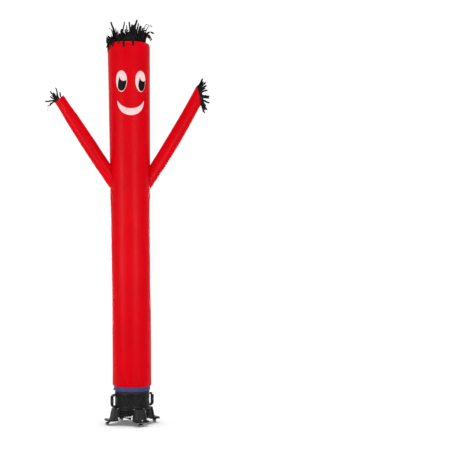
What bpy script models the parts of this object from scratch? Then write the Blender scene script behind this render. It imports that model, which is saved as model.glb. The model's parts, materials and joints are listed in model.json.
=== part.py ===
"""An inflatable air dancer on its floor blower.

Metres, +Z up. The front faces -Y, and an azimuth runs from -Y towards +X. The origin is on
the floor under the blower's axis. The cloth is red, with black strips for hair and hands, and
its foot is closed round the blower's outlet by a blue cuff. The blower is a ribbed drum on a
moulded base of four hollow legs, each on a braked swivel caster.
"""

import math
import random

import bmesh
import bpy
from mathutils import Vector

GAP = 0.0003  # between pieces that touch
CLOTH = 0.0015  # tube and arm cloth, as a solid
HOLE_SEAM = 0.0010  # the hole in the tube is this much smaller than the sleeve
FRINGE = 0.0020  # strips and their bands
TRIM = 0.0010  # face patches

# ---------------------------------------------------------------- blower levels and radii
WHEEL_R = 0.0128
LEDGE_Z = 0.038  # underside of the foot ledges
LEDGE_TOP = 0.053
BASE_TOP = 0.145
DRUM_FOOT = BASE_TOP + GAP
LOWER_RIM_TOP = 0.1635
WALL_TOP = 0.2645
RIM_TOP = 0.2765
NECK_TOP = 0.3137
FLANGE_TOP = 0.3285

DRUM_SIDES = 28  # one side for each half diamond
RIB_R = 0.1525  # top of the raised ribs
PANEL_DEPTH = 0.0025  # the diamonds lie this far behind the ribs
RIB_WIDTH = 0.0080
RIM_R = 0.1555
RIM_EDGE = 0.0015
NECK_R = 0.1490
BORE_R = 0.1445
FLANGE_R = 0.1565
FLANGE_BORE_R = 0.1400

BLOWER_TURN = math.radians(22.4)  # azimuth of the front leg
LEGS = 4

# ---------------------------------------------------------------- base and grilles
WALL = 0.0040
STRIP_FOOT = 0.1357  # the ring above the grilles ends here
LEG_FOOT = 0.0450  # the leg's wall ends inside its ledge
PLATE_BORE_R = 0.1350
GRILLE_EDGE = 0.0010  # a leg's wall turns out this far at its edge
GRILLE_TOP = STRIP_FOOT - GAP
GRILLE_HALF = math.radians(24)
COLUMNS = 9
COLUMN_STEP = math.radians(5.35)
HOLE_HALF = math.radians(2.0)
ROW_STEP = 0.0205
HOLE_TALL = 0.0155
TOP_ROW = 0.1255  # middle of the top row of holes
ARCH_TOP = 0.0700
ARCH_DROP = 0.0245
MOTOR_R = 0.0550

# ---------------------------------------------------------------- casters
CASTER_R = 0.224  # kingpin's distance from the axis
HEADINGS = (278.0, 268.0, 258.0, 284.0)  # azimuth of each trail, front leg first
STEM_R = 0.0040
TRAIL = 0.0090
WHEEL_WIDE = 0.0120
AXLE_R = 0.0020
HUB_R = 0.0076
RACEWAY_R = 0.0115
CROWN_TOP = 0.0310
SLOT = 0.0136
FORK_WIDE = 0.0170
PIN = (0.0200, 0.0240)  # brake pedal's pin: (out along the trail, z)
PIN_R = 0.0013
PEDAL_DROP = math.radians(45)

# ---------------------------------------------------------------- cloth
CUFF_FOOT = 0.2990
CUFF_TOP = 0.3360
CUFF_THICK = 0.0018
TAIL_LIFT = 0.0060  # the strap's loose end stands off this far
TUBE_FOOT = CUFF_TOP + GAP
FOOT_R = 0.1695  # tube radius just above the cuff
HEAD_R = 0.1845
SHOULDER_Z = 3.3330
SHOULDER = 0.0380  # rounding of the head's upper edge
VENT_R = 0.0450
TUBE_SIDES = 32
LEAN = -0.0288 / 2.93  # sideways drift of the tube for each metre of height
ARM_TURN = math.radians(5.5)  # arms and face are turned this far to +X
ARM_SIDES = 16

RED = (0.68, 0.0, 0.012, 1)
BLACK_CLOTH = (0.012, 0.012, 0.014, 1)
WHITE = (0.86, 0.80, 0.81, 1)
BLUE = (0.03, 0.04, 0.22, 1)
BLACK_PLASTIC = (0.035, 0.034, 0.037, 1)
STEEL = (0.62, 0.62, 0.64, 1)
RUBBER = (0.02, 0.02, 0.02, 1)


# ---------------------------------------------------------------- helpers
def clear_scene():
    for thing in list(bpy.data.objects):
        bpy.data.objects.remove(thing, do_unlink=True)


def new_collection(name):
    group = bpy.data.collections.new(name)
    bpy.context.scene.collection.children.link(group)
    return group


def finish(name, color, roughness, metallic=0.0):
    """A Principled material."""
    made = bpy.data.materials.new(name)
    made.use_nodes = True
    shader = made.node_tree.nodes["Principled BSDF"]
    shader.inputs["Base Color"].default_value = color
    shader.inputs["Roughness"].default_value = roughness
    shader.inputs["Metallic"].default_value = metallic
    return made


def put(name, mesh_builder, material, parent=None, angle=0.0, smooth=40):
    """Make an object of a bmesh, link it and turn its parent's frame by an azimuth."""
    mesh = bpy.data.meshes.new(name)
    bmesh.ops.recalc_face_normals(mesh_builder, faces=mesh_builder.faces[:])
    mesh_builder.to_mesh(mesh)
    mesh_builder.free()
    mesh.materials.append(material)
    mesh.shade_smooth()
    mesh.set_sharp_from_angle(angle=math.radians(smooth))
    made = bpy.data.objects.new(name, mesh)
    PARTS.objects.link(made)
    made.parent = parent
    made.rotation_euler.z = angle
    return made


def closed_rings(rings, loop=True):
    """A bmesh through rings of equally many points; the last ring joins the first."""
    bm = bmesh.new()
    rows = [[bm.verts.new(p) for p in ring] for ring in rings]
    count = len(rows[0])
    pairs = list(zip(rows, rows[1:]))
    if loop:
        pairs.append((rows[-1], rows[0]))
    else:
        bm.faces.new(rows[0])
        bm.faces.new(rows[-1])
    for low, high in pairs:
        for k in range(count):
            n = (k + 1) % count
            bm.faces.new((low[k], low[n], high[n], high[k]))
    return bm


def polar(radius, azimuth, z):
    return Vector((radius * math.sin(azimuth), -radius * math.cos(azimuth), z))


def turned(name, profile, sides, material, parent=None):
    """A profile of (radius, z) points, from the axis and back to it, on a Screw modifier."""
    mesh = bpy.data.meshes.new(name)
    edges = [(k, k + 1) for k in range(len(profile) - 1)]
    mesh.from_pydata([(r, 0, z) for r, z in profile], edges, [])
    mesh.materials.append(material)
    made = bpy.data.objects.new(name, mesh)
    PARTS.objects.link(made)
    made.parent = parent
    screw = made.modifiers.new("Turn", "SCREW")
    screw.steps = screw.render_steps = sides
    screw.use_merge_vertices = True
    screw.merge_threshold = 0.00001
    screw.use_smooth_shade = True
    return made


def plate(name, outline, depth, material, parent=None, angle=0.0):
    """A flat outline of (radius, z) points, centred on the front azimuth, depth wide across it."""
    bm = bmesh.new()
    near = [bm.verts.new((-depth / 2, -r, z)) for r, z in outline]
    far = [bm.verts.new((depth / 2, -r, z)) for r, z in outline]
    bm.faces.new(near)
    bm.faces.new(far)
    for k in range(len(outline)):
        n = (k + 1) % len(outline)
        bm.faces.new((near[k], near[n], far[n], far[k]))
    return put(name, bm, material, parent, angle)


def arc(centre, radius, start, end, steps):
    """Points of an arc; angles in degrees from the first axis towards the second."""
    found = []
    for k in range(steps + 1):
        a = math.radians(start + (end - start) * k / steps)
        found.append((centre[0] + radius * math.cos(a), centre[1] + radius * math.sin(a)))
    return found


def boolean(target, cutter, operation="DIFFERENCE"):
    cut = target.modifiers.new(cutter.name, "BOOLEAN")
    cut.operation = operation
    cut.solver = "EXACT"
    cut.object = cutter
    if cutter.name in PARTS.objects:
        PARTS.objects.unlink(cutter)
        CUTTERS.objects.link(cutter)
    cutter.hide_render = True
    cutter.display_type = "WIRE"


# ---------------------------------------------------------------- body tube
def side_radius(z):
    """Radius of the tube's side: nearly straight below, wider towards the head."""
    t = (z - TUBE_FOOT) / (SHOULDER_Z - TUBE_FOOT)
    return FOOT_R + (HEAD_R - FOOT_R) * t * t


def drift(z):
    return LEAN * (z - TUBE_FOOT)


def tube_rows(grow=0.0):
    """(radius, z) of the tube's outer side and crown, each point moved out by grow."""
    foot = ((0.0, -0.0102), (0.007, -0.0040), (0.022, -0.0004))
    rows = [(side_radius(TUBE_FOOT) + inset + grow, TUBE_FOOT + up) for up, inset in foot]
    for z in (0.60, 1.00, 1.50, 1.95, 2.30, 2.60, 2.90, 3.15):
        rows.append((side_radius(z) + grow, z))
    for r, z in arc((HEAD_R - SHOULDER, SHOULDER_Z), SHOULDER + grow, 0, 90, 4):
        rows.append((r, z))
    return rows


def tube_ring(radius, z):
    """One section of the tube, with soft gathers close to the cuff."""
    gather = 0.0020 * math.exp(-(z - TUBE_FOOT) / 0.10) if z > TUBE_FOOT + 0.01 else 0.0
    ring = []
    for k in range(TUBE_SIDES):
        a = math.tau * k / TUBE_SIDES
        wave = gather * math.cos(8 * a)
        ring.append(polar(radius + wave, a, z) + Vector((drift(z), 0, 0)))
    return ring


def build_tube(red):
    outer = [tube_ring(r, z) for r, z in tube_rows()]
    inner = [tube_ring(r, z) for r, z in tube_rows(-CLOTH)]
    vent = (VENT_R, SHOULDER_Z + SHOULDER)
    outer.append(tube_ring(*vent))
    inner.append(tube_ring(vent[0], vent[1] - CLOTH))
    return put("body_tube", closed_rings(outer + inner[::-1]), red)


def tube_cutter():
    """The tube's outer side as a closed solid, a gap larger: it trims the arms' roots."""
    rings = [tube_ring(r, z) for r, z in tube_rows(GAP)]
    return put("tube_cutter", closed_rings(rings, loop=False), CUT)


def on_tube(azimuth, z, lift):
    """A point on the tube's flat-sided surface, lifted off it."""
    step = math.tau / TUBE_SIDES
    k = math.floor(azimuth / step + 1e-9)
    share = azimuth / step - k
    radius = side_radius(z) + lift
    a = polar(radius, k * step, z)
    b = polar(radius, (k + 1) * step, z)
    return a.lerp(b, share) + Vector((drift(z), 0, 0))


# ---------------------------------------------------------------- face
def patch(name, centre_azimuth, centre_z, outline, lift, material):
    """A flat pattern of (arc length, height) points round a centre, laid on the tube."""
    radius = side_radius(centre_z)
    start = centre_azimuth * radius
    bm = bmesh.new()
    bm.faces.new([bm.verts.new((start + s, centre_z + h, 0)) for s, h in outline])
    crease = math.tau / TUBE_SIDES * radius
    low = min(start + s for s, _ in outline)
    high = max(start + s for s, _ in outline)
    for k in range(math.ceil(low / crease), math.floor(high / crease) + 1):
        everything = bm.verts[:] + bm.edges[:] + bm.faces[:]
        bmesh.ops.bisect_plane(
            bm, geom=everything, dist=1e-6, plane_co=(k * crease, 0, 0), plane_no=(1, 0, 0)
        )
    grown = bmesh.ops.extrude_face_region(bm, geom=bm.faces[:])
    for v in grown["geom"]:
        if isinstance(v, bmesh.types.BMVert):
            v.co.z = 1
    for v in bm.verts:
        v.co = on_tube(v.co.x / radius, v.co.y, lift + TRIM * v.co.z)
    return put(name, bm, material)


def oval(half_width, half_height, steps):
    """An upright oval, a little narrower below than above."""
    points = []
    for k in range(steps):
        a = math.tau * k / steps
        narrow = 1 + 0.06 * math.sin(a)
        points.append((half_width * math.cos(a) * narrow, half_height * math.sin(a)))
    return points


def pupil_outline():
    """An oval with a round bite out of its upper outer side; its left horn stands up."""
    left, low = -0.0380, -0.0695
    bite = arc((0.0160, 0.0500), 0.0340, 318, 176, 7)
    side = [(-0.0285, 0.0300), (left, -0.0020), (left + 0.001, -0.0320), (-0.0270, -0.0580)]
    foot = [(-0.0090, low), (0.0120, -0.0650), (0.0280, -0.0440), (0.0385, -0.0100)]
    return bite + side + foot


def smile_outline():
    """A crescent between two arcs that share their ends."""
    half, inner_drop, outer_drop = 0.1270, 0.0690, 0.1290
    points = []
    for drop, order in ((outer_drop, 1), (inner_drop, -1)):
        radius = (half * half + drop * drop) / (2 * drop)
        reach = math.degrees(math.asin(min(1, half / radius)))
        reach = 180 - reach if drop > half else reach
        line = arc((0, radius - drop), radius, 270 - reach, 270 + reach, 10)
        points += line[::order][:-1]
    return points


def build_face(white, black):
    eye_z, eye_turn = 3.0225, math.radians(27.5)
    for name, side in (("left", -1), ("right", 1)):
        azimuth = ARM_TURN + side * eye_turn
        patch(f"eye_white_{name}", azimuth, eye_z, oval(0.0520, 0.0925, 20), GAP, white)
        pupil_lift = 2 * GAP + TRIM
        patch(f"pupil_{name}", azimuth + 0.030, eye_z - 0.015, pupil_outline(), pupil_lift, black)
    patch("smile", ARM_TURN, 2.8510, smile_outline(), GAP, white)


# ---------------------------------------------------------------- arms
class Arm:
    """Where one arm runs: from a start inside the tube to the sewn end of the hand."""

    def __init__(self, name, side, root, tip, end, radii, bow):
        self.name = name
        out = Vector((side * math.cos(ARM_TURN), side * math.sin(ARM_TURN), 0))
        self.depth = out.cross(Vector((0, 0, 1)))  # across the arm, in depth
        hub = Vector((drift(root[1]), 0, 0))
        self.start = hub + out * root[0] + Vector((0, 0, root[1]))
        self.tip = hub + out * tip[0] + Vector((0, 0, tip[1]))
        self.along = (self.tip - self.start).normalized()
        self.length = (self.tip - self.start).length
        self.across = self.depth.cross(self.along)  # in the arms' plane, towards the ground
        if self.across.z > 0:
            self.across.negate()
        self.radii = radii
        self.bow = bow
        half, tilt = end  # half length of the sewn end, and its tilt from square
        self.end_half = half
        self.end_across = (
            self.across * math.cos(tilt) - self.along * math.sin(tilt)
        ).normalized()
        self.end_along = (
            self.along * math.cos(tilt) + self.across * math.sin(tilt)
        ).normalized()

    def centre(self, t):
        return self.start.lerp(self.tip, t) + self.across * self.bow * 4 * t * (1 - t)

    def rings(self, thinner=0.0):
        """Sections from the start to the end; the last one lies in the sewn end's plane."""
        found = []
        for t, radius in self.radii:
            r = radius - thinner
            found.append(self.section(self.centre(t), self.across * r, self.depth * r))
        wide = self.radii[-1][1] - thinner
        half = self.end_half - thinner
        found.append(self.section(self.tip, self.end_across * half, self.depth * wide))
        return found

    def section(self, centre, across, depth):
        ring = []
        for k in range(ARM_SIDES):
            a = math.tau * k / ARM_SIDES
            ring.append(centre + across * math.cos(a) + depth * math.sin(a))
        return ring


LEFT_ARM = Arm(
    "left",
    -1,
    root=(0.088, 2.048),
    tip=(0.625, 2.868),
    end=(0.0480, math.radians(8)),
    radii=((0, 0.052), (0.19, 0.057), (0.30, 0.061), (0.55, 0.061), (0.80, 0.056), (0.95, 0.049)),
    bow=0.0,
)
RIGHT_ARM = Arm(
    "right",
    1,
    root=(0.092, 2.050),
    tip=(0.6148, 2.9079),
    end=(0.0800, math.radians(47)),
    radii=((0, 0.052), (0.19, 0.057), (0.30, 0.061), (0.52, 0.061), (0.75, 0.058), (0.90, 0.055)),
    bow=0.012,
)


def build_arms(red, tube):
    trim = tube_cutter()
    for arm in (LEFT_ARM, RIGHT_ARM):
        sleeve = closed_rings(arm.rings() + arm.rings(CLOTH)[::-1])
        made = put(f"arm_{arm.name}", sleeve, red)
        boolean(made, trim)
        bore = closed_rings(arm.rings(CLOTH + HOLE_SEAM)[:3], loop=False)
        core = put(f"arm_hole_{arm.name}", bore, CUT)
        boolean(tube, core)


# ---------------------------------------------------------------- fringes
def comb(name, centre, axis, across, depth, cells, band, strips, material):
    """A sewn ring of cloth whose every other cell runs on as a strip: one solid.

    centre, axis: the ring's middle and the way its strips start. across, depth: half
    axes of the ring. band: the ring's own height. strips: for each strip its (out, up)
    points past the band, and the share of a cell that it keeps in width.
    """
    bm = bmesh.new()

    def point(cell, inward, out, up):
        a = math.tau * cell / cells
        way = across * math.cos(a) + depth * math.sin(a)
        return centre + way * (1 + (out - inward) / way.length) + axis * up

    def edge_ring(up):
        return [[bm.verts.new(point(k, deep, 0, up)) for deep in (0, FRINGE)] for k in range(cells)]

    low, top = edge_ring(0), edge_ring(band)
    for k in range(cells):
        n = (k + 1) % cells
        bm.faces.new((low[k][0], low[n][0], top[n][0], top[k][0]))
        bm.faces.new((low[n][1], low[k][1], top[k][1], top[n][1]))
        bm.faces.new((low[k][0], low[k][1], low[n][1], low[n][0]))
        if k % 2:
            bm.faces.new((top[k][0], top[n][0], top[n][1], top[k][1]))
            continue
        path, width = strips[k // 2]
        last = (top[k][0], top[n][0], top[n][1], top[k][1])
        before = (0.0, band)
        for step, (out, up) in enumerate(path):
            run, rise = out - before[0], up - before[1]
            if step + 1 < len(path):
                run, rise = path[step + 1][0] - before[0], path[step + 1][1] - before[1]
            size = math.hypot(run, rise)
            lift = (rise / size * FRINGE / 2, -run / size * FRINGE / 2)
            near, far = k + (1 - width) / 2, k + (1 + width) / 2
            found = []
            for edge, sign in ((near, 1), (far, 1), (far, -1), (near, -1)):
                spot = point(edge, FRINGE / 2, out + sign * lift[0], up + sign * lift[1])
                found.append(bm.verts.new(spot))
            for j in range(4):
                m = (j + 1) % 4
                bm.faces.new((last[j], last[m], found[m], found[j]))
            last = tuple(found)
            before = (out, up)
        bm.faces.new(last)
    return put(name, bm, material)


def standing_strip(height, splay):
    """A strip that rises from the crown and leans outwards."""
    return [(splay * 0.15, height * 0.45), (splay * 0.75, height * 0.80), (splay, height)]


def falling_strip(rng, drop):
    """A strip that bends over the head's rounded edge and hangs down outside it."""
    reach = rng.uniform(0.052, 0.058)
    return [(0.010, 0.030), (0.036, 0.034), (reach, 0.010), (reach + 0.006, -drop)]


def build_hair(black):
    rng = random.Random(7)
    cells = 44
    ring_r = 0.137
    crown = SHOULDER_Z + SHOULDER
    strips = []
    for k in range(cells // 2):
        azimuth = math.degrees(math.tau * (2 * k + 0.5) / cells)
        falls = 238 < azimuth < 300 or 8 < azimuth < 16 or 340 < azimuth < 350
        if falls:
            drop = 0.075 if 250 < azimuth < 292 else 0.040
            strips.append((falling_strip(rng, drop), 0.8))
        else:
            height = rng.uniform(0.085, 0.182)
            strips.append((standing_strip(height, rng.uniform(0.0, 0.05)), 0.85))
    centre = Vector((drift(crown), 0, crown + GAP))
    front, right = Vector((0, -ring_r, 0)), Vector((ring_r, 0, 0))
    comb("hair_fringe", centre, Vector((0, 0, 1)), front, right, cells, 0.018, strips, black)


def hand_strip(length, splay):
    return [(splay * 0.25, length * 0.45), (splay * 0.65, length * 0.78), (splay, length)]


def build_hands(black):
    cells, band, splay, share = 24, 0.016, 0.030, 0.7
    for arm, seed, short, long in ((LEFT_ARM, 3, 0.082, 0.114), (RIGHT_ARM, 5, 0.085, 0.112)):
        rng = random.Random(seed)
        strips = []
        for _ in range(cells // 2):
            path = hand_strip(rng.uniform(short, long), rng.uniform(0.0, splay))
            strips.append((path, share))
        centre = arm.tip + arm.end_along * GAP
        across = arm.end_across * arm.end_half
        depth = arm.depth * arm.radii[-1][1]
        name = f"hand_fringe_{arm.name}"
        comb(name, centre, arm.end_along, across, depth, cells, band, strips, black)


# ---------------------------------------------------------------- cuff and neck band
def build_cuff(blue, parent):
    """A strap once round the flange: its end laps over its start and tapers to a low tail."""
    step = math.tau / DRUM_SIDES
    first = -9  # the lap is on the left side
    inner = FLANGE_R + GAP
    over = inner + CUFF_THICK + 3 * GAP
    closing = first + DRUM_SIDES
    stations = [((first + k) * step, inner, CUFF_TOP) for k in range(DRUM_SIDES)]
    stations += [
        ((closing - 0.12) * step, inner + GAP, CUFF_TOP),
        ((closing + 0.10) * step, over, CUFF_TOP - 0.0020),
        ((closing + 0.40) * step, over, CUFF_FOOT + 0.0200),
        ((closing + 0.65) * step, over + TAIL_LIFT, CUFF_FOOT + 0.0120),
    ]
    sections = []
    for azimuth, near, high in stations:
        low, far = CUFF_FOOT, near + CUFF_THICK
        corners = ((near, low), (far, low), (far, high), (near, high))
        sections.append([polar(r, azimuth, z) for r, z in corners])
    put("cuff", closed_rings(sections, loop=False), blue, parent)


def drum_ring(profile_point):
    r, z = profile_point
    return [polar(r, math.tau * k / DRUM_SIDES, z) for k in range(DRUM_SIDES)]


def build_neck_band(black, parent):
    low, high, thick = 0.2790, 0.3125, 0.0022
    inner = NECK_R + GAP
    profile = ((inner, low), (inner + thick, low), (inner + thick, high), (inner, high))
    put("neck_band", closed_rings([drum_ring(p) for p in profile]), black, parent)


# ---------------------------------------------------------------- drum
def build_flange(plastic, parent):
    foot = NECK_TOP + GAP
    profile = (
        (FLANGE_BORE_R, foot),
        (FLANGE_R, foot),
        (FLANGE_R, FLANGE_TOP),
        (FLANGE_BORE_R, FLANGE_TOP),
    )
    put("outlet_flange", closed_rings([drum_ring(p) for p in profile]), plastic, parent)


def on_drum(side, z, depth):
    """A point on the drum's flat sides, side counted from the front leg, depth below the ribs."""
    k = math.floor(side + 1e-6)
    step = math.tau / DRUM_SIDES
    a, b = (polar(RIB_R - depth, n * step, z) for n in (k, k + 1))
    return a.lerp(b, side - k)


def sink_panel(bm, corners, spots, middle, room):
    """Inset one diamond or half diamond by half a rib and push its floor in.

    corners: its vertices, the first and third on the crease between its two sides.
    spots: the same as (side, z). middle: the centre of its inner circle, of radius room.
    """
    rings = [corners]
    for border, depth in ((RIB_WIDTH / 2, 0.0), (RIB_WIDTH / 2 + 0.0008, PANEL_DEPTH)):
        keep = 1 - border / room
        ring = []
        for side, z in spots:
            side, z = middle[0] + (side - middle[0]) * keep, middle[1] + (z - middle[1]) * keep
            ring.append(bm.verts.new(on_drum(side, z, depth)))
        rings.append(ring)
    for outer, inner in zip(rings, rings[1:]):
        for k in range(4):
            n = (k + 1) % 4
            bm.faces.new((outer[k], outer[n], inner[n], inner[k]))
    floor = rings[-1]
    bm.faces.new((floor[0], floor[1], floor[2]))
    bm.faces.new((floor[2], floor[3], floor[0]))


def build_drum(plastic, parent):
    """Rims, neck and bore as rings; the wall as sunk panels between crossing ribs.

    Two ribs cross at every second side's edge, halfway up, and meet the rims at the edges
    between, so that each half diamond lies in one flat side.
    """
    bm = bmesh.new()
    above = ((RIM_R, WALL_TOP + RIM_EDGE), (RIM_R, RIM_TOP - RIM_EDGE))
    above += ((NECK_R, RIM_TOP), (NECK_R, NECK_TOP))
    inside = ((BORE_R, NECK_TOP), (BORE_R, DRUM_FOOT))
    below = ((RIM_R, DRUM_FOOT), (RIM_R, LOWER_RIM_TOP - RIM_EDGE))
    half_way = (LOWER_RIM_TOP + WALL_TOP) / 2
    profile = ((RIB_R, WALL_TOP),) + above + inside + below + ((RIB_R, LOWER_RIM_TOP),)
    rows = [[bm.verts.new(p) for p in drum_ring(point)] for point in profile]
    for low, high in zip(rows, rows[1:]):
        for k in range(DRUM_SIDES):
            n = (k + 1) % DRUM_SIDES
            bm.faces.new((low[k], low[n], high[n], high[k]))
    top, bottom = rows[0], rows[-1]
    crossings = [bm.verts.new(p) for p in drum_ring((RIB_R, half_way))[::2]]
    wide = 2 * RIB_R * math.sin(math.pi / DRUM_SIDES)
    tall = WALL_TOP - half_way
    slope = math.hypot(wide, tall)
    full_room, half_room = wide * tall / slope, wide * tall / (wide + slope)
    for k in range(0, DRUM_SIDES, 2):
        here, beyond = crossings[k // 2], crossings[(k // 2 + 1) % len(crossings)]
        after = (k + 1) % DRUM_SIDES
        spots = [(k + 1, LOWER_RIM_TOP), (k + 2, half_way), (k + 1, WALL_TOP), (k, half_way)]
        corners = [bottom[after], beyond, top[after], here]
        sink_panel(bm, corners, spots, (k + 1, half_way), full_room)
        for row, z, inward in ((top, WALL_TOP, -1), (bottom, LOWER_RIM_TOP, 1)):
            spots = [(k, z), (k + 1, z), (k, half_way), (k - 1, z)]
            corners = [row[k], row[after], here, row[k - 1]]
            sink_panel(bm, corners, spots, (k, z + inward * half_room), half_room)
    put("drum", bm, plastic, parent, smooth=20)


def build_handles(plastic, parent):
    """A flat bracket with a scalloped grip, over each of the two side legs."""
    outer, low, high, bar, corner = 0.2040, 0.1500, 0.2720, 0.0190, 0.0340
    grip, inner_corner = 0.1810, 0.0130
    middle, pitch, wave, steps = (low + high) / 2, 0.0150, 0.0022, 4
    shell = RIB_R + GAP
    rim = RIM_R + GAP
    outline = [(rim, high)]
    outline += arc((outer - corner, high - corner), corner, 90, 0, 5)
    outline += arc((outer - corner, low + corner), corner, 0, -90, 5)
    outline += [(rim, low), (rim, LOWER_RIM_TOP - 0.0012)]
    outline += [(shell, LOWER_RIM_TOP + GAP), (shell, low + bar)]
    outline += arc((grip - inner_corner, low + bar + inner_corner), inner_corner, -90, 0, 3)
    for k in range(-2 * steps + 1, 2 * steps):
        ridge = (1 + math.cos(math.tau * k / steps)) / 2
        outline.append((grip - wave * ridge * ridge, middle + k * pitch / steps))
    outline += arc((grip - inner_corner, high - bar - inner_corner), inner_corner, 0, 90, 3)
    outline += [(shell, high - bar), (shell, WALL_TOP - GAP), (rim, WALL_TOP + 0.0012)]
    for name, quarter in (("left", -1), ("right", 1)):
        plate(f"handle_{name}", outline, 0.0240, plastic, parent, quarter * math.pi / 2)


# ---------------------------------------------------------------- base
def leg_size(z):
    """Face distance, half width, corner radius and skirt radius of the base at a height."""
    drop = BASE_TOP - z
    return 0.181 + 0.200 * drop, 0.050 + 0.109 * drop, 0.016 + 0.044 * drop, 0.163 + 0.098 * drop


def leg_edge(z):
    """Azimuth, from the leg's middle, at which the leg meets the grille."""
    _, half, _, skirt = leg_size(z)
    return math.asin((half + GRILLE_EDGE) / skirt)


def leg_outline(z, inset):
    """Plan points (across, out) of one leg's wall, from its left edge to its right."""
    face, half, corner, skirt = leg_size(z)
    edge = leg_edge(z)
    points = [(-skirt * math.sin(edge), skirt * math.cos(edge))]
    points += arc((-half + corner, face - corner), corner, 180, 90, 3)
    points += arc((half - corner, face - corner), corner, 90, 0, 3)
    points.append((skirt * math.sin(edge), skirt * math.cos(edge)))
    return inset_line(points, inset)


def inset_line(points, inset):
    """Move each point of an open line inwards, square to its neighbours."""
    found = []
    for k, (x, y) in enumerate(points):
        a, b = points[max(k - 1, 0)], points[min(k + 1, len(points) - 1)]
        run = Vector((b[0] - a[0], b[1] - a[1])).normalized()
        found.append((x + run.y * inset, y - run.x * inset))
    return found


def base_columns(z, inset):
    """Plan points all round: four legs and four runs of the skirt between them."""
    found = []
    steps = 4
    for leg in range(LEGS):
        turn = leg * math.pi / 2
        for across, out in leg_outline(z, inset):
            found.append((Vector((across, -out, z)), turn, True))
        edge = leg_edge(z)
        span = math.pi / 2 - 2 * edge
        skirt = leg_size(z)[3] - inset
        for k in range(1, steps):
            found.append((polar(skirt, edge + span * k / steps, z), turn, False))
    placed = []
    for spot, turn, on_leg in found:
        x = spot.x * math.cos(turn) - spot.y * math.sin(turn)
        y = spot.x * math.sin(turn) + spot.y * math.cos(turn)
        placed.append((Vector((x, y, spot.z)), on_leg))
    return placed


def build_base(plastic, parent):
    """Hollow legs hang from a flat ring; the ledges that carry the casters are joined on."""
    bm = bmesh.new()
    tags = [on_leg for _, on_leg in base_columns(BASE_TOP, 0)]
    count = len(tags)

    def row(z, inset):
        return [bm.verts.new(spot) for spot, _ in base_columns(z, inset)]

    def bore_row(z):
        found = []
        for spot, _ in base_columns(BASE_TOP, 0):
            way = Vector((spot.x, spot.y, 0)).normalized() * PLATE_BORE_R
            found.append(bm.verts.new((way.x, way.y, z)))
        return found

    outer = [row(BASE_TOP, 0), row(STRIP_FOOT, 0), row(LEG_FOOT, 0)]
    inner = [row(BASE_TOP - WALL, WALL), row(STRIP_FOOT, WALL), row(LEG_FOOT, WALL)]
    bore_top, bore_low = bore_row(BASE_TOP), bore_row(BASE_TOP - WALL)
    for k in range(count):
        n = (k + 1) % count
        on_leg = tags[k] and tags[n]
        bands = [(bore_top, outer[0]), (outer[0], outer[1]), (inner[1], inner[0])]
        bands += [(inner[0], bore_low), (bore_low, bore_top)]
        if on_leg:
            bands += [(outer[1], outer[2]), (outer[2], inner[2]), (inner[2], inner[1])]
        else:
            bands.append((outer[1], inner[1]))
        for a, b in bands:
            bm.faces.new((a[k], a[n], b[n], b[k]))
        if tags[k] and not tags[n]:
            bm.faces.new((outer[1][k], outer[2][k], inner[2][k], inner[1][k]))
        if tags[n] and not tags[k]:
            bm.faces.new((outer[1][n], outer[2][n], inner[2][n], inner[1][n]))
    for v in [v for v in bm.verts if not v.link_faces]:
        bm.verts.remove(v)
    base = put("base", bm, plastic, parent, smooth=30)
    boolean(base, build_ledges(parent), "UNION")
    boolean(base, stem_holes(parent))


def build_ledges(parent):
    """The four foot ledges as one cutter mesh: flat plates with rounded outer corners."""
    inner, outer, half, corner = 0.1500, 0.2440, 0.0585, 0.0140
    outline = [(-half, inner)]
    outline += arc((-half + corner, outer - corner), corner, 180, 90, 3)
    outline += arc((half - corner, outer - corner), corner, 90, 0, 3)
    outline.append((half, inner))
    bm = bmesh.new()
    for leg in range(LEGS):
        turn = leg * math.pi / 2
        loops = []
        for z in (LEDGE_Z, LEDGE_TOP):
            loop = []
            for x, out in outline:
                spot = polar(out, turn, z) + polar(x, turn + math.pi / 2, 0)
                loop.append(bm.verts.new(spot))
            loops.append(loop)
            bm.faces.new(loop)
        for k in range(len(outline)):
            n = (k + 1) % len(outline)
            bm.faces.new((loops[0][k], loops[0][n], loops[1][n], loops[1][k]))
    return put("ledge_union", bm, CUT, parent)


def stem_holes(parent):
    bm = bmesh.new()
    for leg in range(LEGS):
        spot = polar(CASTER_R, leg * math.pi / 2, LEDGE_Z + 0.008)
        bore = STEM_R + 0.0004
        made = bmesh.ops.create_cone(
            bm, cap_ends=True, segments=12, radius1=bore, radius2=bore, depth=0.04
        )
        bmesh.ops.translate(bm, verts=made["verts"], vec=spot)
    return put("stem_holes", bm, CUT, parent)


# ---------------------------------------------------------------- grilles
def arch(angle):
    """Lower edge of a grille: a wide arch, lowest beside the legs."""
    return ARCH_TOP - ARCH_DROP * (abs(angle) / GRILLE_HALF) ** 1.7


def grille_levels(angle):
    """Heights of the hole edges from top to bottom on one upright of the grid."""
    levels = [GRILLE_TOP]
    for row in range(3):
        middle = TOP_ROW - row * ROW_STEP
        levels += [middle + HOLE_TALL / 2, middle - HOLE_TALL / 2]
    left = levels[-1] - arch(angle)
    levels += [levels[-1] - 0.20 * left, levels[-1] - 0.82 * left, arch(angle)]
    return levels


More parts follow.
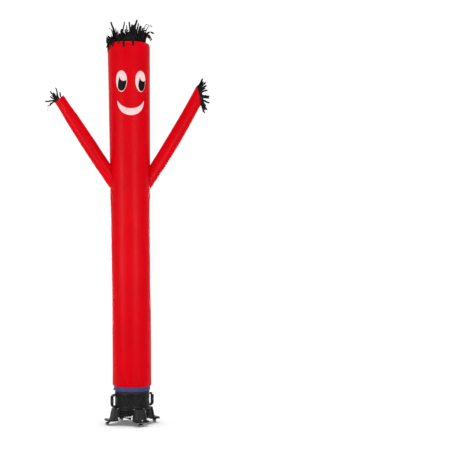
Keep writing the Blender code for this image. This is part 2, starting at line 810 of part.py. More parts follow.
def build_grilles(plastic, parent):
    """Nine columns of three holes, and a fourth, arched hole at each end."""
    angles = [None]
    for column in range(COLUMNS):
        middle = (column - (COLUMNS - 1) / 2) * COLUMN_STEP
        angles += [middle - HOLE_HALF, middle + HOLE_HALF]
    angles.append(None)
    last = len(angles) - 1
    for side in range(LEGS):
        bm = bmesh.new()
        grid = []
        for k, angle in enumerate(angles):
            column = []
            for level in grille_levels(angle if angle is not None else GRILLE_HALF):
                here = angle
                if angle is None:
                    room = math.pi / 4 - leg_edge(level) - 2 * GAP / 0.165
                    here = -room if k == 0 else room
                column.append((here, level))
            grid.append(column)
        middle = math.pi / 4
        sheets = []
        for inset in (0.0, WALL):
            sheet = []
            for column in grid:
                spots = [polar(leg_size(z)[3] - inset, middle + a, z) for a, z in column]
                sheet.append([bm.verts.new(spot) for spot in spots])
            sheets.append(sheet)
        rows = len(grid[0]) - 1

        def solid(k, row):
            if not (0 <= k < last and 0 <= row < rows):
                return False
            hole_column = k % 2 == 1
            end_column = k in (1, last - 2)
            return not (hole_column and (row in (1, 3, 5) or (row == 7 and end_column)))

        for k in range(last):
            for row in range(rows):
                if not solid(k, row):
                    continue
                for sheet in sheets:
                    here, there = sheet[k], sheet[k + 1]
                    bm.faces.new((here[row], there[row], there[row + 1], here[row + 1]))
                edges = (
                    ((k, row), (k + 1, row), solid(k, row - 1)),
                    ((k, row + 1), (k + 1, row + 1), solid(k, row + 1)),
                    ((k, row), (k, row + 1), solid(k - 1, row)),
                    ((k + 1, row), (k + 1, row + 1), solid(k + 1, row)),
                )
                for (a, b), (c, d), joined in edges:
                    if not joined:
                        front, back = sheets
                        bm.faces.new((front[a][b], front[c][d], back[c][d], back[a][b]))
        put(f"grille_{side + 1}", bm, plastic, parent, side * math.pi / 2, smooth=20)


# ---------------------------------------------------------------- motor, bolts, eye
def build_motor(plastic, parent):
    low, high, edge = 0.0760, 0.1560, 0.0080
    profile = (
        (0.0, high),
        (MOTOR_R - edge, high),
        (MOTOR_R, high - edge),
        (MOTOR_R, low + edge),
        (MOTOR_R - edge, low),
        (0.0, low),
    )
    turned("motor", profile, 20, plastic, parent)


def bracket_outline():
    """Plan points of a round plate with four square-ended arms."""
    hub, reach, half, hub_steps = 0.0680, 0.1425, 0.0100, 4
    edge = math.asin(half / hub)
    points = []
    for quarter in range(4):
        middle = (quarter + 0.5) * math.pi / 2
        along, across = polar(1, middle, 0), polar(1, middle + math.pi / 2, 0)
        foot = hub * math.cos(edge)
        for distance, side in ((foot, -1), (reach, -1), (reach, 1), (foot, 1)):
            points.append(along * distance + across * half * side)
        span = math.pi / 2 - 2 * edge
        points += [polar(hub, middle + edge + span * k / hub_steps, 0) for k in range(1, hub_steps)]
    return points


def build_bracket(plastic, parent):
    """A plate round the motor, with four arms that lie on the base's ring."""
    low, high, bore, sides = BASE_TOP + GAP, 0.1485, MOTOR_R + GAP, 20
    bm = bmesh.new()
    outline = bracket_outline()
    hole = [polar(bore, math.tau * k / sides, 0) for k in range(sides)]
    loops = []
    for points in (outline, hole):
        loops.append([[bm.verts.new((p.x, p.y, z)) for p in points] for z in (low, high)])
    for under, over in loops:
        for k in range(len(under)):
            n = (k + 1) % len(under)
            bm.faces.new((under[k], under[n], over[n], over[k]))
    for level in (0, 1):
        edges = []
        for loop in loops:
            ring = loop[level]
            edges += [bm.edges.get((v, ring[(k + 1) % len(ring)])) for k, v in enumerate(ring)]
        bmesh.ops.triangle_fill(bm, edges=edges, use_beauty=True)
    put("motor_bracket", bm, plastic, parent)


def build_bolts(steel, parent):
    """Two hexagon bolts on the ring of the base, beside each leg's middle."""
    spread, distance, radius, tall = math.radians(16.5), 0.1612, 0.0042, 0.0040
    number = 0
    for leg in range(LEGS):
        for side in (-1, 1):
            number += 1
            azimuth = leg * math.pi / 2 + side * spread
            bm = bmesh.new()
            bmesh.ops.create_cone(
                bm, cap_ends=True, segments=6, radius1=radius, radius2=radius, depth=tall
            )
            spot = polar(distance, azimuth, BASE_TOP + GAP + tall / 2)
            bmesh.ops.translate(bm, verts=bm.verts[:], vec=spot)
            put(f"flange_bolt_{number}", bm, steel, parent)


def torus_rings(centre, first, second, major, minor, around, section):
    """Sections of a torus whose circle runs in the plane of first and second."""
    normal = first.cross(second)
    rings = []
    for k in range(around):
        a = math.tau * k / around
        way = first * math.cos(a) + second * math.sin(a)
        ring = []
        for j in range(section):
            b = math.tau * j / section
            ring.append(centre + way * (major + minor * math.cos(b)) + normal * minor * math.sin(b))
        rings.append(ring)
    return rings


def build_tie(steel, black, parent):
    """A small eye on the back of the drum, with a ring hanging in it."""
    azimuth, z = math.pi - math.tau / DRUM_SIDES, 0.2190
    out = polar(1, azimuth, 0)
    up, across = Vector((0, 0, 1)), polar(1, azimuth + math.pi / 2, 0)
    eye_r, eye_wire, ring_r, ring_wire = 0.0050, 0.0012, 0.0065, 0.0016
    wall = RIB_R - PANEL_DEPTH + GAP
    centre = out * (wall + 0.0010 + eye_r + eye_wire) + up * z
    loop = torus_rings(centre, out, up, eye_r, eye_wire, 14, 6)
    eye = put("tie_eye", closed_rings(loop), steel, parent)
    bm = bmesh.new()
    made = bmesh.ops.create_cone(
        bm, cap_ends=True, segments=8, radius1=0.0030, radius2=0.0014, depth=0.0026
    )
    turn = out.to_track_quat("Z", "Y").to_matrix()
    bmesh.ops.rotate(bm, verts=made["verts"], cent=(0, 0, 0), matrix=turn)
    bmesh.ops.translate(bm, verts=made["verts"], vec=out * (wall + 0.0013) + up * z)
    boolean(eye, put("eye_foot", bm, CUT, parent), "UNION")
    ring_top = z - eye_r + eye_wire + ring_wire + GAP
    low = centre + up * (ring_top - ring_r - z)
    ring = torus_rings(low, across, up, ring_r, ring_wire, 16, 6)
    put("tie_ring", closed_rings(ring), black, parent)


# ---------------------------------------------------------------- casters
def caster_frame(number, parent):
    """Empties for a caster: its kingpin, its axle and its pedal pin."""
    azimuth = number * math.pi / 2
    king = bpy.data.objects.new(f"kingpin_{number + 1}", None)
    PARTS.objects.link(king)
    king.parent = parent
    king.location = polar(CASTER_R, azimuth, 0)
    king.rotation_euler.z = math.radians(HEADINGS[number]) - BLOWER_TURN - math.pi / 2
    return king


def across_cylinder(bm, spot, radius, length, segments):
    """A cylinder along Y at (x, z)."""
    made = bmesh.ops.create_cone(
        bm, cap_ends=True, segments=segments, radius1=radius, radius2=radius, depth=length
    )
    turn = Vector((0, 1, 0)).to_track_quat("Z", "Y").to_matrix()
    bmesh.ops.rotate(bm, verts=made["verts"], cent=(0, 0, 0), matrix=turn)
    bmesh.ops.translate(bm, verts=made["verts"], vec=(spot[0], 0, spot[1]))


def side_plate(bm, outline, width):
    """A flat outline of (x, z) points, width wide along Y."""
    near = [bm.verts.new((x, -width / 2, z)) for x, z in outline]
    far = [bm.verts.new((x, width / 2, z)) for x, z in outline]
    bm.faces.new(near)
    bm.faces.new(far)
    for k in range(len(outline)):
        n = (k + 1) % len(outline)
        bm.faces.new((near[k], near[n], far[n], far[k]))


def build_fork(name, steel, king):
    """Crown and two cheeks of one bent plate, with holes for the axle and the pedal's pin."""
    outline = [(-0.0100, 0.0275), (-0.0100, CROWN_TOP), (0.0110, CROWN_TOP)]
    outline += arc(PIN, 0.0036, 70, -60, 3)
    outline += arc((TRAIL, WHEEL_R), 0.0052, 10, -190, 5)
    bm = bmesh.new()
    side_plate(bm, outline, FORK_WIDE)
    fork = put(name, bm, steel, king)
    slot = bmesh.new()
    ceiling, behind, ahead = CROWN_TOP - 0.0032, -0.02, 0.04
    corners = [(behind, 0.0), (behind, ceiling), (ahead, ceiling), (ahead, 0.0)]
    side_plate(slot, corners, SLOT)
    boolean(fork, put(f"{name}_slot", slot, CUT, king))
    holes = bmesh.new()
    across_cylinder(holes, (TRAIL, WHEEL_R), AXLE_R + GAP, 0.03, 8)
    across_cylinder(holes, PIN, PIN_R + GAP, 0.03, 8)
    boolean(fork, put(f"{name}_holes", holes, CUT, king))


def wheel_piece(name, profile, sides, material, king):
    """A turned piece round the axle: (radius, across) profile, with a flat facet down."""
    rings = []
    for k in range(sides):
        a = math.tau * (k + 0.5) / sides
        rings.append([(TRAIL + r * math.sin(a), y, WHEEL_R - r * math.cos(a)) for r, y in profile])
    put(name, closed_rings(rings), material, king)


def build_wheel(number, steel, rubber, king):
    half = WHEEL_WIDE / 2
    tyre_sides = 20
    tread = WHEEL_R / math.cos(math.pi / tyre_sides)  # so that a facet's middle touches the floor
    bead = HUB_R / math.cos(math.pi / tyre_sides) + GAP
    edge = 0.0022
    profile = (
        (bead, half),
        (tread - edge, half),
        (tread, half - edge),
        (tread, -half + edge),
        (tread - edge, -half),
        (bead, -half),
    )
    wheel_piece(f"tyre_{number}", profile, tyre_sides, rubber, king)
    bore, rim = AXLE_R + 2 * GAP, half + 0.0004
    profile = ((bore, rim), (HUB_R, rim), (HUB_R, -rim), (bore, -rim))
    wheel_piece(f"hub_{number}", profile, 12, steel, king)
    bm = bmesh.new()
    across_cylinder(bm, (TRAIL, WHEEL_R), AXLE_R, FORK_WIDE + 0.0016, 8)
    put(f"axle_{number}", bm, steel, king)


def build_pedal(number, plastic, king):
    """Brake lever on its pin between the cheeks, pointing out and down."""
    lever, thick, wide = 0.0175, 0.0034, 0.0105
    heel = -0.0024
    flat = [(heel, -thick / 2), (lever, -thick / 2), (lever + 0.0008, thick / 2), (heel, thick / 2)]
    c, s = math.cos(-PEDAL_DROP), math.sin(-PEDAL_DROP)
    outline = [(PIN[0] + x * c - z * s, PIN[1] + x * s + z * c) for x, z in flat]
    bm = bmesh.new()
    side_plate(bm, outline, wide)
    pedal = put(f"pedal_{number}", bm, plastic, king)
    pin = bmesh.new()
    across_cylinder(pin, PIN, PIN_R, FORK_WIDE, 8)
    boolean(pedal, put(f"pedal_pin_{number}", pin, CUT, king), "UNION")


def build_caster(number, plastic, steel, rubber, parent):
    king = caster_frame(number - 1, parent)
    nut, nut_top, end = 0.0070, LEDGE_TOP + 0.0055, LEDGE_TOP + 0.0080
    profile = (
        (0.0, end),
        (STEM_R, end),
        (STEM_R, nut_top),
        (nut, nut_top),
        (nut, LEDGE_TOP + GAP),
        (STEM_R, LEDGE_TOP + GAP),
        (STEM_R, LEDGE_Z - GAP),
        (RACEWAY_R, LEDGE_Z - GAP),
        (RACEWAY_R, CROWN_TOP + GAP),
        (0.0, CROWN_TOP + GAP),
    )
    turned(f"stem_{number}", profile, 12, steel, king)
    build_fork(f"fork_{number}", plastic, king)
    build_wheel(number, steel, rubber, king)
    build_pedal(number, plastic, king)


# ---------------------------------------------------------------- assembly
def build():
    red = finish("red_cloth", RED, 0.55)
    black = finish("black_cloth", BLACK_CLOTH, 0.8)
    white = finish("white_cloth", WHITE, 0.6)
    blue = finish("blue_cloth", BLUE, 0.5)
    plastic = finish("black_plastic", BLACK_PLASTIC, 0.45)
    steel = finish("steel", STEEL, 0.3, 1.0)
    rubber = finish("black_rubber", RUBBER, 0.7)

    tube = build_tube(red)
    build_arms(red, tube)
    build_face(white, black)
    build_hair(black)
    build_hands(black)

    blower = bpy.data.objects.new("blower", None)
    PARTS.objects.link(blower)
    blower.rotation_euler.z = BLOWER_TURN
    build_cuff(blue, blower)
    build_neck_band(black, blower)
    build_flange(plastic, blower)
    build_drum(plastic, blower)
    build_handles(plastic, blower)
    build_base(plastic, blower)
    build_grilles(plastic, blower)
    build_motor(plastic, blower)
    build_bracket(plastic, blower)
    build_bolts(steel, blower)
    build_tie(steel, rubber, blower)
    for number in range(1, LEGS + 1):
        build_caster(number, plastic, steel, rubber, blower)


clear_scene()
PARTS = new_collection("air_dancer")
CUTTERS = new_collection("cutters")
CUT = finish("cutter", (0.5, 0.5, 0.5, 1), 0.5)
build()
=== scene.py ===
"""An inflatable air dancer on its floor blower, laid out as a Blender add-on.

The measured frame gives every place and size. Each operator makes one piece, or one group of
like pieces, from surfaces worked out with numpy, and rides it on a body of the frame. Azimuths
run from -Y, the front, towards +X. Lengths are in metres.
"""

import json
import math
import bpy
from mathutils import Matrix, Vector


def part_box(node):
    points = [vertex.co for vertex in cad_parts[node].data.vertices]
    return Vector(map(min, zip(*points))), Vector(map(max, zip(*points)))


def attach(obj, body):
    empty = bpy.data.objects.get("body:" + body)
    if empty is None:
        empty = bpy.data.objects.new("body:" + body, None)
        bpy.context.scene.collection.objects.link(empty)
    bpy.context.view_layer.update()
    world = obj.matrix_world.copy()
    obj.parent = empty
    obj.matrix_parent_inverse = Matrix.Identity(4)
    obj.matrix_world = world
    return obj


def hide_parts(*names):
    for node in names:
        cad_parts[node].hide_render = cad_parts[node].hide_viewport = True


bl_info = {
    "name": "Air Dancer",
    "version": (1, 0, 0),
    "blender": (4, 5, 0),
    "location": "View3D > Sidebar > Air Dancer",
    "description": "An inflatable cloth figure on a ribbed blower with braked casters",
    "category": "Object",
}

import bmesh
import bpy
import numpy as np
from bpy.props import FloatProperty, FloatVectorProperty, IntProperty, PointerProperty
from bpy.types import Operator, Panel, PropertyGroup
from mathutils import Vector

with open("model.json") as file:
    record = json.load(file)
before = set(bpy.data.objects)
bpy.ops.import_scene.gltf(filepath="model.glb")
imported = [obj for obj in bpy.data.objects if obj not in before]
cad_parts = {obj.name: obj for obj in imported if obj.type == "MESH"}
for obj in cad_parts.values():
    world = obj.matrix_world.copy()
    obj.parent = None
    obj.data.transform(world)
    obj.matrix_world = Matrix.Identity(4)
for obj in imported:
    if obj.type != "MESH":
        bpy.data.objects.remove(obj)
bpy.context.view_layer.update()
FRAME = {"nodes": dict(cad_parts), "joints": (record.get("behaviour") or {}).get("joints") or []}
JOINTS = {joint["name"]: joint for joint in FRAME["joints"]}
ROOT = "machine"
UV_NAME = "metres"

# Sizes shared with the frame
TUBE_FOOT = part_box("body_tube")[0].z
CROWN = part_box("body_tube")[1].z
SHOULDER = 0.038
SHOULDER_Z = CROWN - SHOULDER
FOOT_R, HEAD_R, VENT_R = 0.1715, 0.1870, 0.045
LEAN = -0.0288 / 2.93
ARM_TURN = math.radians(5.5)
BLOWER_TURN = math.radians(22.4)
DRUM_SIDES = 28
RIB_R, WALL_R, RIM_R, NECK_R, BORE_R = 0.1523, 0.1498, 0.1553, 0.1488, 0.1440
DRUM_FOOT, LOWER_RIM, WALL_TOP, RIM_TOP, NECK_TOP = 0.1453, 0.1635, 0.2645, 0.2765, 0.3137

# Cloth: gathers round the crown, thicknesses, what parts a patch from the cloth below it, and
# the height of the eyes' middle
PUCKERS = 31
STRIP_THICK, PATCH_THICK, PATCH_GAP = 0.0005, 0.0008, 0.0003
EYE_Z = 3.0170

UP = np.array((0.0, 0.0, 1.0))


# ------------------------------------------------------------------------ numbers and arrays
def polar(radius, azimuth, z):
    """Points (radius sin azimuth, -radius cos azimuth, z)."""
    radius, azimuth, z = np.broadcast_arrays(radius, azimuth, z)
    return np.stack((radius * np.sin(azimuth), -radius * np.cos(azimuth), z), -1).astype(float)


def turns(count):
    """Angles that part a whole turn evenly."""
    return np.arange(count) * math.tau / count


def ways(azimuth):
    """Unit vectors outwards and sideways at an azimuth."""
    return polar(1.0, azimuth, 0.0), polar(1.0, azimuth + math.pi / 2, 0.0)


def leg_turn(number):
    """Azimuth of a leg; with a half added, of the middle of the gap after that leg."""
    return number * math.pi / 2 + BLOWER_TURN


def unit(vectors):
    """Vectors divided by their length."""
    return vectors / np.maximum(np.linalg.norm(vectors, axis=-1, keepdims=True), 1e-12)


def smooth_step(x):
    """3x^2 - 2x^3 between 0 and 1."""
    x = np.clip(x, 0, 1)
    return x * x * (3 - 2 * x)


def bell(x, width):
    """exp(-(x / width)^2)."""
    return np.exp(-((x / width) ** 2))


def arc(centre, radius, start, end, count):
    """Points centre + radius (cos a, sin a) for angles in degrees from start to end."""
    a = np.radians(np.linspace(start, end, count))
    return np.stack((centre[0] + radius * np.cos(a), centre[1] + radius * np.sin(a)), -1)


def capped(rings):
    """Rings with a pole added in the middle of the first and of the last."""
    poles = [ring.mean(1, keepdims=True) + 0 * ring for ring in (rings[:1], rings[-1:])]
    return np.concatenate((poles[0], rings, poles[1]))


def run(points):
    """Length along a line of points, counted from its start."""
    return np.concatenate(([0.0], np.cumsum(np.linalg.norm(np.diff(points, axis=0), axis=1))))


def metres(points, wrap_u, wrap_v):
    """A UV map in metres: the length along the middle row and along the middle column."""
    if wrap_u:
        points = np.concatenate((points, points[:, :1]), 1)
    if wrap_v:
        points = np.concatenate((points, points[:1]), 0)
    rows, cols = points.shape[:2]
    return np.stack(np.meshgrid(run(points[rows // 2]), run(points[:, cols // 2])), -1)


def outline_area(outline):
    """Half the sum of x dy - y dx round a flat outline."""
    x, y = outline[:, 0], outline[:, 1]
    return abs(np.sum(x * np.roll(y, -1) - y * np.roll(x, -1))) / 2


# ------------------------------------------------------------------------ meshes
class Shape:
    """Collects grids of points, then makes one mesh of them."""

    def __init__(self):
        self.points, self.faces, self.uvs = [], [], []
        self.count = 0

    def grid(self, points, wrap_u=False, wrap_v=False, keep=None, uv=None):
        """Quads over points[v, u]; a wrapped direction joins its last line to its first."""
        rows, cols = points.shape[:2]
        v, u = np.arange(rows - (not wrap_v)), np.arange(cols - (not wrap_u))
        v, u = np.meshgrid(v, u, indexing="ij")
        uv = metres(points, wrap_u, wrap_v) if uv is None else uv
        chosen = np.ones(v.shape, bool) if keep is None else keep
        v, u = v[chosen], u[chosen]
        corner_v, corner_u = np.stack((v, v, v + 1, v + 1), 1), np.stack((u, u + 1, u + 1, u), 1)
        self.faces.append(self.count + corner_v % rows * cols + corner_u % cols)
        self.uvs.append(uv[corner_v, corner_u])
        self.points.append(points.reshape(-1, 3))
        self.count += rows * cols
        return self

    def make(self, name, finish, body=ROOT, stands_for=(), thick=0.0, bevel=0.0, sharp=40):
        """Makes the object, which rides on its body. With a thickness it is an open sheet,
        thickened inwards; without one it is a closed surface."""
        mesh = bpy.data.meshes.new(name)
        mesh.from_pydata(np.concatenate(self.points), [], np.concatenate(self.faces))
        mesh.uv_layers.new(name=UV_NAME).uv.foreach_set(
            "vector", np.concatenate(self.uvs).astype(np.float32).ravel())
        tidy(mesh, not thick)
        made = show(name, mesh, finish, body, stands_for, sharp)
        if thick:
            solid = made.modifiers.new("Cloth", "SOLIDIFY")
            solid.thickness, solid.offset = thick, -1
        if bevel:
            round_edges(made, bevel)
        return made


def tidy(mesh, closed):
    """Welds points that meet, drops loose ones and turns a closed surface's faces outwards."""
    bm = bmesh.new()
    bm.from_mesh(mesh)
    bmesh.ops.remove_doubles(bm, verts=bm.verts[:], dist=2e-6)
    bmesh.ops.delete(bm, geom=[v for v in bm.verts if not v.link_faces], context="VERTS")
    if closed:
        bmesh.ops.recalc_face_normals(bm, faces=bm.faces[:])
    bm.to_mesh(mesh)
    bm.free()


def show(name, mesh, finish, body, stands_for, sharp):
    """Links a mesh as an object at the origin, rides it on its body and hides the frame nodes it
    stands for.
    """
    mesh.materials.append(finish_of(finish))
    mesh.shade_smooth()
    mesh.set_sharp_from_angle(angle=math.radians(sharp))
    made = bpy.data.objects.new(name, mesh)
    bpy.context.scene.collection.objects.link(made)
    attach(made, body)
    if stands_for:
        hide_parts(*stands_for)
    return made


def round_edges(made, width):
    """A bevel of two steps on every edge sharper than 40 degrees."""
    bevel = made.modifiers.new("Edges", "BEVEL")
    bevel.width, bevel.segments = width, 2
    bevel.limit_method, bevel.angle_limit = "ANGLE", math.radians(40)
    bevel.harden_normals = True


def refined(node, finish, body, bevel):
    """A merged copy of a frame node with softly rounded edges."""
    mesh = FRAME["nodes"][node].data.copy()
    mesh.materials.clear()
    bm = bmesh.new()
    bm.from_mesh(mesh)
    bmesh.ops.remove_doubles(bm, verts=bm.verts[:], dist=1e-5)
    bmesh.ops.dissolve_limit(bm, angle_limit=math.radians(1), verts=bm.verts[:], edges=bm.edges[:])
    bm.to_mesh(mesh)
    bm.free()
    round_edges(show(f"{node}_shape", mesh, finish, body, (node,), 35), bevel)


def turned(profile, sides, centre=(0, 0, 0), axis=(0, 0, 1)):
    """Points of a profile of (radius, height) carried round an axis: [height, angle]."""
    axis = unit(np.array(axis, float))
    first = unit(np.cross(axis, (0.37, 0.61, 0.70)))
    a = turns(sides)[:, None]
    way = np.cos(a) * first + np.sin(a) * np.cross(axis, first)
    radius, height = np.array(profile, float).T[..., None, None]
    return np.array(centre) + radius * way + height * axis


def rounded(profile, size, steps=3):
    """A closed profile with each corner cut by size along a parabola between its sides."""
    profile = np.array(profile, float)
    start, end = (
        profile + (side - profile)
        * np.minimum(size / np.linalg.norm(side - profile, axis=1), 0.45)[:, None]
        for side in (np.roll(profile, 1, 0), np.roll(profile, -1, 0)))
    t = np.linspace(0, 1, steps + 1)[None, :, None]
    start, middle, end = start[:, None], profile[:, None], end[:, None]
    return ((1 - t) ** 2 * start + 2 * t * (1 - t) * middle + t * t * end).reshape(-1, 2)


def torus(centre, first, second, major, minor, around=48, section=14):
    """Points centre + (major + minor cos b) way(a) + minor sin b normal."""
    a, b = turns(around)[:, None], turns(section)[None, :, None]
    way = (np.cos(a) * first + np.sin(a) * second)[:, None]
    return centre + way * (major + minor * np.cos(b)) + np.cross(first, second) * minor * np.sin(b)


# ------------------------------------------------------------------------ shader maths
class Value:
    """A socket of a material; arithmetic on it adds Math nodes."""

    def __init__(self, finish, socket):
        self.finish, self.socket = finish, socket

    def math(self, operation, *values):
        return self.finish.node("ShaderNodeMath", {"operation": operation}, values)

    def __add__(self, other):
        return self.math("ADD", self, other)

    def __mul__(self, other):
        return self.math("MULTIPLY", self, other)

    def __sub__(self, other):
        return self.math("SUBTRACT", self, other)

    def __rsub__(self, other):
        return self.math("SUBTRACT", other, self)

    def __truediv__(self, other):
        return self.math("DIVIDE", self, other)

    __radd__, __rmul__ = __add__, __mul__

    def wave(self, pitch):
        """0 to 1 and back once each pitch."""
        return self.math("SINE", self * (math.tau / pitch)) * 0.5 + 0.5

    def line(self, pitch, width):
        """1 on a line of that width at each pitch, 0 between, with soft edges."""
        off = self.math("ABSOLUTE", self.math("FRACT", self / pitch) - 0.5) * pitch
        return self.step(off, width, width / 2)

    def step(self, value, low, high):
        """0 where value is at low, 1 where it is at high, smooth between."""
        sockets = {"Value": value, "From Min": low, "From Max": high}
        settings = {"interpolation_type": "SMOOTHSTEP"}
        return self.finish.node("ShaderNodeMapRange", settings, sockets)

    def below(self, low, high):
        """1 where this value is under low, 0 where it is over high."""
        return self.step(self, high, low)

    def most(self, other):
        return self.math("MAXIMUM", self, other)


class Finish:
    """A material on its Principled shader, and the nodes that feed it."""

    def __init__(self, name, color, roughness, metallic=0.0, specular=0.5):
        self.material = bpy.data.materials.new(name)
        self.material.use_nodes = True
        self.nodes, self.links = self.material.node_tree.nodes, self.material.node_tree.links
        self.shader = self.nodes["Principled BSDF"]
        self.feed("Roughness", roughness)
        self.feed("Metallic", metallic)
        self.feed("Base Color", (*color, 1))
        self.feed("Specular IOR Level", specular)

    def feed(self, socket, value):
        """Sets one of the shader's sockets, or links a value to it."""
        target = self.shader.inputs[socket]
        if isinstance(value, Value):
            self.links.new(value.socket, target)
        else:
            target.default_value = value

    def node(self, kind, settings=None, sockets=None, out=0):
        """Adds a node: its settings first, then a value or a link for each socket."""
        made = self.nodes.new(kind)
        for key, value in (settings or {}).items():
            setattr(made, key, value)
        pairs = sockets.items() if isinstance(sockets, dict) else enumerate(sockets or ())
        for key, value in pairs:
            if isinstance(value, Value):
                self.links.new(value.socket, made.inputs[key])
            else:
                made.inputs[key].default_value = value
        return Value(self, made.outputs[out])

    def place(self):
        """Object coordinates."""
        return self.node("ShaderNodeTexCoord", out=3)

    def map(self):
        """The piece's own map in metres, as two values."""
        both = self.node("ShaderNodeUVMap", {"uv_map": UV_NAME})
        return [self.node("ShaderNodeSeparateXYZ", None, [both], k) for k in (0, 1)]

    def noise(self, scale, detail=2.0):
        sockets = {"Vector": self.place(), "Scale": scale, "Detail": detail}
        return self.node("ShaderNodeTexNoise", None, sockets)

    def blend(self, share, first, second):
        """A colour between two colours."""
        pair = [value if isinstance(value, Value) else (*value, 1) for value in (first, second)]
        settings = {"data_type": "RGBA"}
        return self.node("ShaderNodeMix", settings, {0: share, 6: pair[0], 7: pair[1]}, 2)

    def dress(self, color, roughness, height, depth, strength):
        """Feeds the colour, the roughness and a bump of that depth in metres, and gives the
        material."""
        self.feed("Base Color", color)
        self.feed("Roughness", roughness)
        sockets = {"Height": height, "Distance": depth, "Strength": strength}
        self.feed("Normal", self.node("ShaderNodeBump", None, sockets))
        return self.material


def nylon(name, color, deep, pitch=0.006, roughness=0.30):
    """Coated ripstop: a square grid of thicker threads over a fine weave, softly crumpled."""
    finish = Finish(name, color, roughness, specular=0.018)
    across, along = finish.map()
    grid = across.line(pitch, pitch * 0.16).most(along.line(pitch, pitch * 0.16))
    weave = across.wave(pitch / 8) * along.wave(pitch / 8)
    crumple = finish.noise(26.0, 5.0)
    patchy = finish.noise(3.5, 3.0).below(0.35, 0.68)
    return finish.dress(
        finish.blend(patchy * 0.55 + grid * 0.18, color, deep),
        finish.noise(9.0) * 0.22 + (roughness - 0.11),
        grid * 0.5 + weave * 0.22 + crumple * 1.5, 0.0005, 0.7)


def ribbon_cloth(name, color, light):
    """Cut strips of matt cloth: a fine weave, paler and a little glossier in soft random patches.
    """
    finish = Finish(name, color, 0.62, specular=0.06)
    across, along = finish.map()
    weave = across.wave(0.0011) * along.wave(0.0011)
    # Noise patches: 1 keeps the plain colour and more roughness, 0 gives the paler colour.
    plain_share = finish.noise(60.0, 4.0).below(0.42, 0.66)
    return finish.dress(finish.blend(plain_share, light, color), plain_share * 0.15 + 0.52,
                        weave * 0.5 + finish.noise(240.0, 3.0), 0.0004, 0.8)


def applique(name, color, deep, thread):
    """A cloth patch held by a row of close stitches; the map's second value is edge distance."""
    finish = Finish(name, color, 0.58, specular=0.05)
    along, inward = finish.map()
    hem = inward.below(0.0032, 0.0038)
    stitch = along.wave(0.0016) * hem
    weave = finish.noise(900.0, 2.0)
    soft = finish.noise(14.0, 4.0).below(0.3, 0.7)
    plain = finish.blend(soft, deep, color)
    return finish.dress(finish.blend(hem, plain, finish.blend(stitch, deep, thread)),
                        0.62 - stitch * 0.2,
                        stitch * 1.4 + weave * 0.25 + soft * 0.6, 0.0006, 0.9)


def webbing(name, color, light):
    """Tight webbing: ribs along the strap crossed by a fine weave, with a stitched hem. Its paler
    second colour is a painted highlight on the raised threads, and also a random tone in soft noise
    patches.
    """
    finish = Finish(name, color, 0.40, specular=0.18)
    along, across = finish.map()
    ribs = across.wave(0.0030)
    cross = along.wave(0.0016)
    thread = ribs * 0.6 + cross * 0.4
    # Paler where the threads stand high: painted highlight; the noise share adds random tone.
    return finish.dress(finish.blend(thread * 0.6 + finish.noise(40.0) * 0.3, color, light),
                        0.52 - thread * 0.16,
                        thread + finish.noise(120.0, 3.0) * 0.6, 0.0005, 0.9)


def hook_tape(name, color, light):
    """Loop tape: short fuzz in faint upright rows, with a woven edge."""
    finish = Finish(name, color, 0.85, specular=0.1)
    along, _ = finish.map()
    rows = along.wave(0.0042)
    fuzz = finish.noise(1400.0, 4.0)
    tufts = finish.node("ShaderNodeTexVoronoi", None, {"Vector": finish.place(), "Scale": 620.0})
    return finish.dress(finish.blend(fuzz * 0.5 + rows * 0.25, color, light), 0.85,
                        fuzz + tufts * 0.8 + rows * 0.3, 0.0009, 0.9)


def moulded(name, color, light, grain=1100.0, roughness=0.40):
    """Moulded plastic: a fine grain, cloudy gloss and faint scuffs."""
    finish = Finish(name, color, roughness, specular=0.09)
    cloud = finish.noise(11.0, 4.0)
    speck = finish.noise(grain, 2.0)
    scuff = finish.noise(70.0, 6.0).below(0.30, 0.42)
    return finish.dress(finish.blend(cloud * 0.5 + scuff * 0.35, color, light),
                        cloud * 0.26 + scuff * 0.12 + (roughness - 0.13),
                        speck + cloud * 0.4, 0.00022, 0.8)


def plated(name, color, dull):
    """Plated steel with fine turning marks and a few dull spots."""
    finish = Finish(name, color, 0.22, 1.0)
    spots = finish.noise(180.0, 5.0).below(0.30, 0.45)
    marks = finish.noise(900.0, 1.0)
    return finish.dress(finish.blend(spots, color, dull), marks * 0.14 + spots * 0.2 + 0.14,
                        marks, 0.00008, 0.6)


def tread(name, color, dust):
    """Rubber with a fine skin and dust on the tread."""
    finish = Finish(name, color, 0.62, specular=0.2)
    dusty = finish.noise(160.0, 5.0).below(0.40, 0.60)
    return finish.dress(finish.blend(dusty * 0.6, color, dust), dusty * 0.2 + 0.52,
                        finish.noise(1500.0, 3.0), 0.0002, 0.7)


# What is made so far: the material of every finish, by its name
MATERIALS = {}


